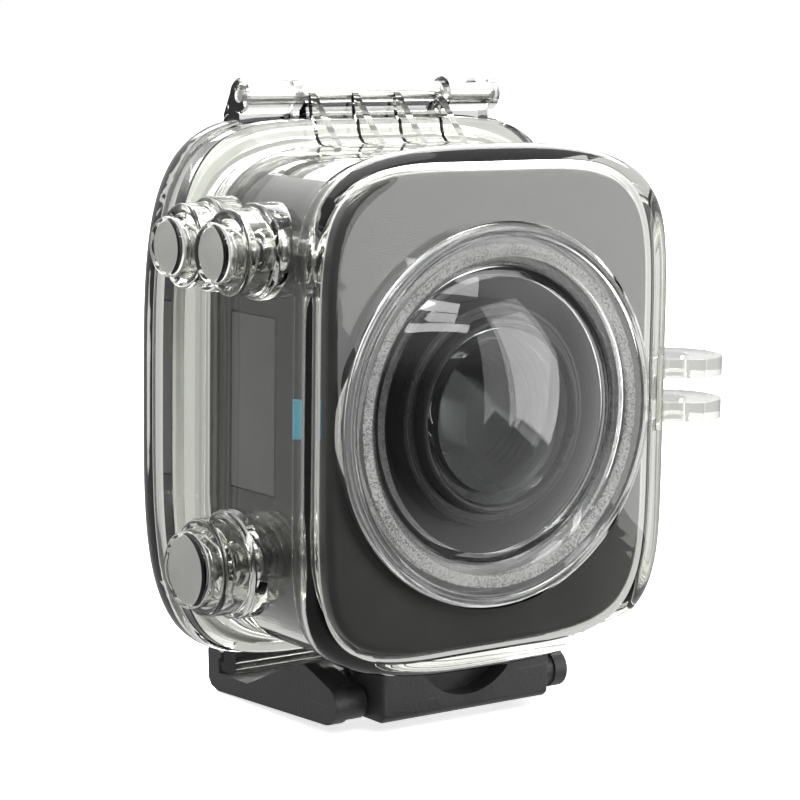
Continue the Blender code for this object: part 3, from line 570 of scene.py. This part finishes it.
# The camera's side: charcoal with fine upright moulding lines towards the back
def streakedCaseSurface():
    surface, tree, shader, where = newSurface("streakedCase")
    grain = addNode(tree, "ShaderNodeGroup", node_tree=grainGroup)
    tree.links.new(where, grain.inputs["Vector"])
    grain.inputs["Grain Scale"].default_value = 2200
    upright = addNode(tree, "ShaderNodeMapping")
    upright.inputs["Scale"].default_value = (6, 900, 6)
    tree.links.new(where, upright.inputs["Vector"])
    lines = noiseNode(tree, 1.0, 2, 0.6)
    tree.links.new(upright.outputs["Vector"], lines.inputs["Vector"])
    split = addNode(tree, "ShaderNodeSeparateXYZ")
    tree.links.new(where, split.inputs["Vector"])
    rearward = rangeNode(tree, split.outputs["Y"], place(0, 21, 0).y, place(0, 26, 0).y)
    streak = rangeNode(tree, lines.outputs["Fac"], 0.42, 0.62)
    lined = mathNode(tree, "MULTIPLY", streak, rearward)
    base = colourMix(tree, rangeNode(tree, grain.outputs["Mottle"], 0.3, 0.7),
                     (0.036, 0.036, 0.037), (0.050, 0.050, 0.051))
    shade = colourMix(tree, lined, base, (0.075, 0.075, 0.077))
    tree.links.new(shade, shader.inputs["Base Color"])
    tree.links.new(rangeNode(tree, grain.outputs["Mottle"], 0.2, 0.8, 0.30, 0.42),
                   shader.inputs["Roughness"])
    shader.inputs["Specular IOR Level"].default_value = 0.4
    height = mathNode(tree, "ADD", mathNode(tree, "MULTIPLY", grain.outputs["Height"], 0.3),
                      lined)
    bumpFrom(tree, shader, height, 0.3, 0.06)
    return surface


frostedRing = frostedRingSurface()
streakedCase = streakedCaseSurface()


rim = (31.2, 36.2, 2.7, 7.0, 0.65)
wall = (29.8, 34.9, 4.0, 6.2, 0.65)
flange = (34.5, 37.9, 5.7, 3.64, 1.17)
doorShape = (35.2, 38.5, 5.7, 3.64, 1.17)
cavity = (27.9, 33.4, 4.2, 6.4, 0.65)
gasketShape = (32.5, 36.5, 4.6, 4.3, 0.9)
cameraShape = (26.0, 32.7, 5.2, 6.3, 0.65)
caseFace = (27.2, 32.8, 4.1, 6.5, 0.7)
parting = 32.0
hingeY, hingeZ = 32.0, 42.3
leverY, leverZ = -1.0, -1.0

housing = {
    "frontWall": 2.2, "portRadius": 26.6, "barrelHalf": 12.3, "barrelRadius": 1.8,
    "pinBore": 0.95, "gussets": 4, "lugInner": 8.0, "lugOuter": 10.5, "lugRadius": 1.8,
    "leverY": 14.6, "leverZ": -36.3,
}
buttons = {
    "top_front": {"y": 14.2, "z": 22.65, "cap": 4.1, "collar": 5.75},
    "top_rear": {"y": 25.45, "z": 22.65, "cap": 4.1, "collar": 5.75},
    "bottom": {"y": 20.4, "z": -20.6, "cap": 5.3, "collar": 6.75},
}
buttonDepths = {
    "capFace": -38.1, "capEnd": -33.5, "ceiling": -37.0, "collarEnd": -35.4,
    "collarFloor": -31.3, "root": -25.5, "sealPocket": 2.6, "sealEnd": -29.9,
    "stemHole": 1.75, "clipPocket": 3.1, "clipStart": -28.5,
}


def collarPiece(name, spec):
    d = buttonDepths
    r = spec["collar"]
    profile = [(0, d["root"]), (r + 0.75, d["root"]), (r + 0.75, -30.9)]
    profile += [(r + 0.55, -31.2), (r + 0.15, -31.4), (r, -31.7), (r, d["collarEnd"] + 0.55)]
    profile += arcPoints(r - 0.5, d["collarEnd"] + 0.5, 0.5, 0, -90, 5)
    profile += [(0, d["collarEnd"])]
    return turnedPiece("collar_" + name, profile, "x", (spec["y"], spec["z"]), 72)


def collarBore(name, spec):
    d = buttonDepths
    r = spec["cap"] + 0.35
    profile = [
        (0, d["collarEnd"] - 1), (r + 0.5, d["collarEnd"] - 1), (r + 0.5, d["collarEnd"]),
        (r, d["collarEnd"] + 0.4), (r, d["collarFloor"]), (d["sealPocket"], d["collarFloor"]),
        (d["sealPocket"], d["sealEnd"]), (d["stemHole"], d["sealEnd"]),
        (d["stemHole"], d["clipStart"]), (d["clipPocket"], d["clipStart"]),
        (d["clipPocket"], d["root"] + 1), (0, d["root"] + 1),
    ]
    return turnedPiece("bore_" + name, profile, "x", (spec["y"], spec["z"]), 72)


def buildShell():
    s = housing
    shell = loftPiece("shellClear", [
        (0.0, rim, 3.9), (0.06, rim, 3.2), (0.25, rim, 2.4), (0.6, rim, 1.7), (1.1, rim, 1.05),
        (1.7, rim, 0.55), (2.4, rim, 0.2), (3.2, rim, 0.03), (4.0, rim, 0.0), (4.7, rim, 0.1),
        (5.2, rim, 0.45), (5.6, wall, -0.45), (6.1, wall, -0.12), (6.8, wall, 0.0),
        (26.6, wall, 0.0), (27.6, wall, -0.2), (28.3, wall, -0.8), (28.8, flange, 1.6),
        (28.95, flange, 0.6), (29.2, flange, 0.15), (29.6, flange, 0.0),
        (31.5, flange, 0.0), (31.85, flange, 0.25),
    ])
    behind = blockPiece("behindParting", (-50, 31.85, -60), (50, 60, 60))
    hollow = loftPiece("shellHollow", [
        (s["frontWall"], cavity, 1.3), (s["frontWall"] + 0.12, cavity, 0.85),
        (s["frontWall"] + 0.4, cavity, 0.4), (s["frontWall"] + 0.8, cavity, 0.1),
        (s["frontWall"] + 1.2, cavity, 0.0), (33, cavity, 0.0),
    ])
    port = rodPiece("portHole", s["portRadius"], -2, 3.7, "y", (0, 0), 128)
    hingeBore = rodPiece("hingeBore", s["pinBore"], -14, 14, "x", (hingeY, hingeZ), 32)
    lugBore = rodPiece("lugBore", s["pinBore"], -12, 12, "x", (s["leverY"], s["leverZ"]), 32)
    web = blockPiece("collarWeb", (-34.2, 14.2, 19.45), (-25.5, 25.45, 25.85))
    adds = [web]
    adds += [collarPiece(name, spec) for name, spec in buttons.items()]
    lugTop = -32.6
    side = [(s["leverY"] - s["lugRadius"], lugTop)]
    side += arcPoints(s["leverY"], s["leverZ"], s["lugRadius"], 180, 360, 16)
    side += [(s["leverY"] + s["lugRadius"], lugTop)]
    adds.append(platePiece("lugRight", side, s["lugInner"], s["lugOuter"]))
    adds.append(platePiece("lugLeft", side, -s["lugOuter"], -s["lugInner"]))
    combine(shell, adds, "UNION")
    combine(shell, [behind], "DIFFERENCE")
    flangeTop = flange[1] + flange[4]
    webSide = [(hingeY - 1.5, hingeZ), (hingeY - 0.2, hingeZ), (hingeY - 0.2, flangeTop - 2.5),
               (hingeY - 2.6, flangeTop - 2.5)]
    extra = [platePiece("hingeWeb", webSide, -s["barrelHalf"] + 0.2, s["barrelHalf"] - 0.2)]
    for i in range(s["gussets"]):
        x = (i - 1.5) * (2 * s["barrelHalf"] - 2.6) / 3
        gusset = [(hingeY - 1.2, hingeZ + 0.9), (hingeY - 1.2, flangeTop - 3.0),
                  (hingeY - 8.5, flangeTop - 4.6), (hingeY - 8.0, flangeTop - 2.9)]
        extra.append(platePiece(f"gusset{i}", gusset, x - 0.6, x + 0.6))
    extra.append(rodPiece("hingeBarrel", s["barrelRadius"], -s["barrelHalf"], s["barrelHalf"],
                          "x", (hingeY, hingeZ), 48, 0.2))
    combine(shell, extra, "UNION")
    bores = [collarBore(name, spec) for name, spec in buttons.items()]
    combine(shell, [hollow, port, hingeBore, lugBore, *bores], "DIFFERENCE")
    finishPiece(shell, "housing", clearHousing, "front_shell", slot="clear_polycarbonate")
    print("housing shell")


def buildTabs():
    tabs = softCopy("mountTabsClear", "mount_fingers", 0.35)
    finishPiece(tabs, "housing", clearHousing, "mount_fingers", slot="clear_polycarbonate")


def ballCap(apex, base, edge, steps):
    rise = base - apex
    ball = (edge ** 2 + rise ** 2) / (2 * rise)
    sweep = math.asin(edge / ball)
    points = []
    for i in range(steps):
        turn = sweep * (1 - i / steps)
        points.append((ball * math.sin(turn), apex + ball - ball * math.cos(turn)))
    return points + [(0, apex)]


port = {"bore": 20.6, "skirt": 23.0, "apex": -6.3, "base": 1.3, "thick": 1.6}


def buildPort():
    p = port
    ring = [
        (26.3, 0.05), (26.3, 0.6), (25.4, 0.6), (25.4, 2.4), (p["skirt"], 2.4),
        (p["skirt"], 5.3), (p["bore"] + 0.4, 5.3), (p["bore"], 4.9), (p["bore"], 1.25),
        (p["bore"] + 0.08, 1.0), (22.0, -0.42), (22.3, -0.5), (24.45, -0.5), (24.6, -0.4),
        (24.75, -0.15), (24.95, -0.15), (25.1, -0.4), (25.3, -0.5), (25.75, -0.5), (25.95, -0.4),
    ]
    made = turnedPiece("portRingClear", ring, steps=160)
    finishPiece(made, "housing", frostedRing, "port_ring", slot="frosted_polycarbonate")
    seal = [(26.3, 2.1), (25.75, 2.1), (25.75, 1.1), (25.9, 0.9), (26.15, 0.9), (26.3, 1.1)]
    made = turnedPiece("portSealBlack", seal, steps=160)
    finishPiece(made, "housing", blackRubber, "port_seal", slot="black_rubber")
    edge = p["bore"] - 0.3
    outer = ballCap(p["apex"], p["base"], edge, 28)
    inner = ballCap(p["apex"] + p["thick"], p["base"], edge - p["thick"], 26)
    seat = [(edge - p["thick"], p["base"] + 1.5), (edge, p["base"] + 1.5)]
    window = turnedPiece("portWindowClear", inner[::-1] + seat + outer, steps=160)
    finishPiece(window, "housing", clearWindow, "port_window", slot="clear_polycarbonate")
    print("lens port")


lens = {"barrel": 15.0, "bore": 13.3, "dome": 11.8, "domeBase": 0.9, "domeApex": -0.7}


def buildLens():
    s = lens
    surround = [(20.1, 5.0), (20.1, 5.7), (15.4, 5.7), (15.4, 5.1), (15.6, 5.0), (19.9, 5.0)]
    finishPiece(turnedPiece("lensSurround", surround, steps=128), "housing", lensBlack,
                "lens_surround", slot="black_plastic")
    barrel = [
        (15.0, 2.35), (15.0, 12.0), (13.3, 12.0), (13.3, 2.1), (13.4, 2.0), (14.1, 2.0),
        (14.2, 2.12), (14.35, 2.12), (14.45, 2.0), (14.75, 2.0), (14.93, 2.12),
    ]
    finishPiece(turnedPiece("lensBarrelRing", barrel, steps=128), "housing", ringMetal,
                "lens_barrel", slot="black_metal")
    trim = [
        (13.0, 0.9), (13.0, 4.2), (12.1, 4.2), (12.1, 0.85), (12.25, 0.5), (12.45, 0.4),
        (12.65, 0.4), (12.9, 0.55),
    ]
    finishPiece(turnedPiece("lensTrimRing", trim, steps=128), "housing", ringMetal,
                "lens_trim", slot="black_metal")
    outer = ballCap(s["domeApex"], s["domeBase"], s["dome"], 24)
    inner = ballCap(s["domeApex"] + 1.5, s["domeBase"], s["dome"] - 1.5, 22)
    seat = [(s["dome"] - 1.5, s["domeBase"] + 1.4), (s["dome"], s["domeBase"] + 1.4)]
    finishPiece(turnedPiece("lensDomeGlass", inner[::-1] + seat + outer, steps=128), "housing",
                lensGlass, "lens_dome", slot="lens_glass")
    funnel = [(13.0, 4.6), (13.0, 11.4), (5.4, 11.4), (5.4, 8.2)]
    for i in range(9):  # fine anti-glare steps
        radius = 6.2 + i * 0.72
        depth = 7.9 - i * 0.36
        funnel += [(radius, depth + 0.26), (radius, depth)]
    funnel += [(12.6, 4.6)]
    finishPiece(turnedPiece("lensFunnel", funnel, steps=128), "housing", lensBlack,
                "lens_baffle", slot="black_plastic")
    element = [(0, 7.9), (5.9, 7.9)] + ballCap(4.4, 7.2, 5.9, 20)
    finishPiece(turnedPiece("lensInnerGlass", element, steps=96), "housing", lensGlass,
                "lens_inner", slot="lens_glass")
    print("lens")


def buildCamera():
    front = loftPiece("caseFront", [
        (2.5, caseFace, 1.1), (2.54, caseFace, 0.75), (2.68, caseFace, 0.4),
        (2.95, caseFace, 0.15), (3.4, caseFace, 0.0), (7.3, caseFace, 0.0),
        (7.6, caseFace, 0.3),
    ])
    pocket = rodPiece("portPocket", 23.4, 0, 6.0, "y", (0, 0), 128)
    hole = rodPiece("frontHole", 15.3, 4, 9, "y", (0, 0), 128)
    combine(front, [pocket, hole], "DIFFERENCE")
    finishPiece(front, "housing", greyPlastic, "camera_front", slot="grey_plastic")
    body = loftPiece("caseBody", [
        (7.9, caseFace, 0.3), (8.2, caseFace, 0.0), (10.8, caseFace, 0.0),
        (11.1, caseFace, 0.25), (11.4, cameraShape, 0.0), (28.8, cameraShape, 0.0),
        (29.0, cameraShape, 0.2),
    ])
    inside = loftPiece("caseInside", [(10.5, cameraShape, 1.8), (30.0, cameraShape, 1.8)])
    hole = rodPiece("bodyHole", 15.3, 5, 12, "y", (0, 0), 128)
    left = blockPiece("leftRecess", (-26.8, 14.7, -11.0), (-25.2, 25.9, 13.6))
    right = blockPiece("rightRecess", (25.2, 14.7, -11.0), (26.8, 25.9, 13.6))
    combine(body, [inside, hole, left, right], "DIFFERENCE")
    finishPiece(body, "housing", streakedCase, "camera_body", slot="charcoal_plastic")
    strip = blockPiece("accentBlue", (-27.5, 5.4, -1.6), (-26.6, 7.2, 3.7))
    roundEdges(strip, 0.18)
    finishPiece(strip, "housing", blueAccent, "accent_strip", slot="blue_plastic")
    rear = loftPiece("caseRear", [
        (29.3, cameraShape, 0.2), (29.5, cameraShape, 0.0), (32.3, cameraShape, 0.0),
        (33.1, cameraShape, 0.3), (33.7, cameraShape, 0.8), (34.1, cameraShape, 1.5),
        (34.3, cameraShape, 2.5),
    ])
    recess = blockPiece("doorRecess", (-17, 33.2, -24), (17, 35.3, 12))
    combine(rear, [recess], "DIFFERENCE")
    finishPiece(rear, "housing", charcoalPlastic, "camera_rear", slot="charcoal_plastic")
    print("camera case")


def repaint(node, material):
    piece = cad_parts[node]
    piece.data.materials.clear()
    piece.data.materials.append(material)


def buildDoor():
    door = loftPiece("doorClear", [
        (32.15, doorShape, 0.6), (32.3, doorShape, 0.3), (32.6, doorShape, 0.1),
        (33.2, doorShape, 0.02), (34.4, doorShape, 0.0), (35.4, doorShape, 0.12),
        (36.3, doorShape, 0.45), (37.1, doorShape, 1.0), (37.75, doorShape, 1.75),
        (38.25, doorShape, 2.7), (38.55, doorShape, 3.7), (38.72, doorShape, 4.6),
        (38.8, doorShape, 5.6),
    ])
    legs = []
    leg = [(hingeY + 0.2, hingeZ + 2.4), (hingeY + 0.2, hingeZ - 4.6),
           (hingeY + 4.4, hingeZ - 4.6), (hingeY + 4.2, hingeZ - 2.6), (hingeY + 2.3, hingeZ + 1)]
    for i, side in enumerate((-1, 1)):
        low, high = sorted((side * 12.6, side * 22.1))
        legs.append(rodPiece(f"knuckle{i}", 2.5, low, high, "x", (hingeY, hingeZ), 56, 0.3))
        legs.append(platePiece(f"leg{i}", leg, low + 0.3, high - 0.3))
    keeper = [(34.8, -34.5), (34.8, -40.3), (35.4, -40.8), (37.9, -40.8), (38.5, -40.5),
              (38.7, -40.1), (38.7, -39.7), (38.05, -39.3), (38.05, -34.5)]
    legs.append(platePiece("keeperRib", keeper, -20.2, 20.2))
    combine(door, legs, "UNION")
    groove = loftPiece("gasketGroove", [(31, gasketShape, -0.3), (33.9, gasketShape, -0.3)])
    island = loftPiece("gasketIsland", [(30, gasketShape, 1.6), (35, gasketShape, 1.6)])
    combine(groove, [island], "DIFFERENCE")
    hollow = loftPiece("doorHollow", [
        (31, cavity, 0.0), (35.1, cavity, 0.0), (35.9, cavity, 0.25), (36.5, cavity, 0.9),
        (36.8, cavity, 1.7), (36.9, cavity, 2.6),
    ])
    relief = rodPiece("barrelRelief", 2.15, -12.6, 12.6, "x", (hingeY, hingeZ), 48)
    bore = rodPiece("doorBore", 0.95, -30, 30, "x", (hingeY, hingeZ), 32)
    combine(door, [groove, hollow, relief, bore], "DIFFERENCE")
    finishPiece(door, "door", clearHousing, "back_door", slot="clear_polycarbonate")
    seal = loftPiece("doorGasketMilky", [
        (32.0, gasketShape, 0.15), (32.15, gasketShape, 0.0), (33.45, gasketShape, 0.0),
        (33.6, gasketShape, 0.15),
    ])
    inner = loftPiece("gasketInside", [(31, gasketShape, 1.3), (35, gasketShape, 1.3)])
    combine(seal, [inner], "DIFFERENCE")
    finishPiece(seal, "door", milkySilicone, "door_gasket", slot="grey_silicone")
    print("door")


def buildButtons():
    d = buttonDepths
    for name, spec in buttons.items():
        r = spec["cap"]
        middle = (spec["y"], spec["z"])
        cap = [(0, d["ceiling"]), (r - 0.75, d["ceiling"]), (r - 0.6, d["ceiling"] + 0.15),
               (r - 0.6, d["capEnd"]), (r, d["capEnd"]), (r, d["capFace"] + 0.75)]
        cap += arcPoints(r - 0.75, d["capFace"] + 0.75, 0.75, 0, -80, 6)
        cap += [(r - 1.3, d["capFace"] + 0.12), (r - 2.2, d["capFace"] + 0.05),
                (0, d["capFace"] + 0.0)]
        finishPiece(turnedPiece("capClear_" + name, cap, "x", middle, 72), "button_" + name,
                    clearButton, "button_cap_" + name, slot="clear_polycarbonate")
        stem = [(0, -27.5), (1.35, -27.5), (1.5, -27.7), (1.5, -33.0), (2.0, -33.4),
                (2.0, -34.2), (1.5, -34.6), (1.5, -36.55), (1.35, -36.7), (0, -36.7)]
        finishPiece(turnedPiece("plunger_" + name, stem, "x", middle, 48), "button_" + name,
                    brightSteel, "button_stem_" + name, slot="steel")
        seal = arcPoints(2.1, -30.65, 0.3, 0, 330, 11)
        finishPiece(turnedPiece("sealRing_" + name, seal, "x", middle, 48), "housing",
                    blackRubber, "button_seal_" + name, slot="black_rubber")
        disc = [(0, -36.97), (r - 0.72, -36.97), (r - 0.64, -36.9), (r - 0.64, -36.75),
                (0, -36.75)]
        finishPiece(turnedPiece("capDisc_" + name, disc, "x", middle, 72), "button_" + name,
                    satinGrey, slot="grey_plastic")
        spring = softCopy("springCoil_" + name, "button_spring_" + name, 0)
        finishPiece(spring, "housing", brightSteel, "button_spring_" + name, degrees=60,
                    slot="steel", weighted=False)
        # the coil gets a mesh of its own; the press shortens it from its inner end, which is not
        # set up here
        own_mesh(spring)
        repaint("button_clip_" + name, brightSteel)
    print("buttons")


def buildLatch():
    for name, node, body in (("leverBlack", "latch_lever", "lever"),
                             ("hookBlack", "latch_hook", "hook")):
        finishPiece(softCopy(name, node, 0.22), body, latchPlastic, node, slot="black_plastic")
    for node in ("hinge_pin", "latch_pin", "hook_pin_left", "hook_pin_right"):
        repaint(node, brightSteel)
    print("latch")


buildShell()
buildTabs()
buildPort()
buildLens()
buildCamera()
buildDoor()
buildButtons()
buildLatch()
for node, material in (
    ("side_panel_left", panelPlastic), ("side_panel_right", panelPlastic),
    ("battery_door", greyPlastic), ("sensor_board", boardGreen),
    ("main_board", boardGreen), ("battery", batteryWrap), ("rear_pad", padSilicone),
):
    repaint(node, material)


def buildFloor():
    clearPick()
    bpy.ops.mesh.primitive_plane_add(size=6.0, location=(0, 0, baseLow.z - 0.0002))
    floor = bpy.context.active_object
    floor.name = "studioFloor"
    surface, tree, shader, where = newSurface("paleFloor")
    cloud = noiseNode(tree, 3, 2)
    tree.links.new(where, cloud.inputs["Vector"])
    tree.links.new(colourMix(tree, cloud.outputs["Fac"], (0.92, 0.92, 0.92),
                             (0.95, 0.95, 0.95)), shader.inputs["Base Color"])
    shader.inputs["Roughness"].default_value = 0.9
    shader.inputs["Specular IOR Level"].default_value = 0.1
    shader.inputs["Emission Color"].default_value = (1, 1, 1, 1)
    shader.inputs["Emission Strength"].default_value = 0.7
    floor.data.materials.append(surface)
    floor.visible_glossy = False
    floor.visible_transmission = False


# a rectangular lamp set by its near corner and the two edges that leave it
def cardLamp(name, corner, along, upward, radiance):
    along, upward = Vector(along), Vector(upward)
    data = bpy.data.lights.new(name, "AREA")
    data.shape = "RECTANGLE"
    data.size, data.size_y = along.length * mm, upward.length * mm
    data.energy = radiance * math.pi * data.size * data.size_y
    lamp = bpy.data.objects.new(name, data)
    bpy.context.scene.collection.objects.link(lamp)
    spot = place(*(Vector(corner) + along / 2 + upward / 2))
    x, y = along.normalized(), upward.normalized()
    turned = Matrix((x, y, x.cross(y))).transposed().to_quaternion()
    if (turned @ Vector((0, 0, -1))).dot(origin - spot) < 0:
        turned = Matrix((-x, y, (-x).cross(y))).transposed().to_quaternion()
    lamp.matrix_world = Matrix.LocRotScale(spot, turned, None)
    lamp.visible_camera = False
    return lamp


# a slanted glowing card in front on the right, seen only in reflections
def buildKeyCard(outline, radiance):
    clearPick()
    bpy.ops.mesh.primitive_circle_add(vertices=len(outline), radius=0.001, fill_type="NGON")
    card = bpy.context.active_object
    card.name = "keyCard"
    for vertex, (x, z) in zip(card.data.vertices, outline):
        vertex.co = place(x, -450, z)
    surface = bpy.data.materials.new("keyGlow")
    surface.use_nodes = True
    shader = surface.node_tree.nodes["Principled BSDF"]
    shader.inputs["Base Color"].default_value = (0, 0, 0, 1)
    shader.inputs["Emission Color"].default_value = (1, 1, 1, 1)
    shader.inputs["Emission Strength"].default_value = radiance
    card.data.materials.append(surface)
    card.visible_camera = False
    card.visible_shadow = False


def buildLights():
    buildKeyCard([(245, 420), (245, -95), (289, -60), (426, -133), (640, -247), (820, 180),
                  (600, 520)], 3.4)
    cardLamp("overhead", (-350, -190, 620), (700, 0, 0), (0, 500, 0), 1.2)
    cardLamp("rearTop", (100, 150, 620), (1100, 0, 0), (0, 1000, 0), 6.0)
    cardLamp("stripA", (-349, -358, 600), (423, -195, 0), (41, 84, 0), 10.0)
    cardLamp("stripB", (-360, -617, 600), (479, -181, 0), (36, 97, 0), 10.0)
    cardLamp("stripC", (-15, -353, 600), (266, -69, 0), (40, 150, 0), 6.0)


def buildWorld():
    world = bpy.data.worlds.new("studioWorld")
    bpy.context.scene.world = world
    world.use_nodes = True
    tree = world.node_tree
    background = tree.nodes["Background"]
    coords = addNode(tree, "ShaderNodeTexCoord")
    split = addNode(tree, "ShaderNodeSeparateXYZ")
    tree.links.new(coords.outputs["Generated"], split.inputs["Vector"])
    rearward = rangeNode(tree, split.outputs["Y"], -0.76, -0.45, 0.11, 0.66)
    rightward = rangeNode(tree, split.outputs["X"], -0.75, -0.1, 0.6, 1.0)
    upward = rangeNode(tree, split.outputs["Z"], 0.2, 0.65, 0.0, 0.45)
    level = mathNode(tree, "ADD", mathNode(tree, "MULTIPLY", rearward, rightward), upward)
    behind = mathNode(tree, "MULTIPLY", rangeNode(tree, split.outputs["Z"], 0.0, 0.16),
                      rangeNode(tree, split.outputs["Y"], 0.1, 0.6, 0.0, 0.45))
    level = mathNode(tree, "ADD", level, behind)
    tone = colourMix(tree, mathNode(tree, "MULTIPLY", level, 0.5), (0.0, 0.0, 0.0),
                     (2.0, 2.0, 2.0))
    rays = addNode(tree, "ShaderNodeLightPath")
    seen = colourMix(tree, rays.outputs["Is Camera Ray"], tone, (1.0, 1.0, 1.0))
    tree.links.new(seen, background.inputs["Color"])
    background.inputs["Strength"].default_value = 1.0


def buildViewer():
    data = bpy.data.cameras.new("productCamera")
    data.sensor_width = 36.0
    data.lens = 121.97
    data.clip_start, data.clip_end = 0.01, 20.0
    viewer = bpy.data.objects.new("productCamera", data)
    bpy.context.scene.collection.objects.link(viewer)
    right = Vector((0.80673, -0.59075, 0.01432))
    up = Vector((0.07606, 0.12784, 0.98887))
    back = Vector((-0.58600, -0.79667, 0.14806))
    turned = Matrix((right, up, back)).transposed()
    viewer.matrix_world = Matrix.LocRotScale(place(-226.41, -284.39, 56.48),
                                             turned.to_quaternion(), None)
    bpy.context.scene.camera = viewer


buildFloor()
buildLights()
buildWorld()
buildViewer()
bpy.context.scene.view_settings.view_transform = "Standard"
print("studio ready")
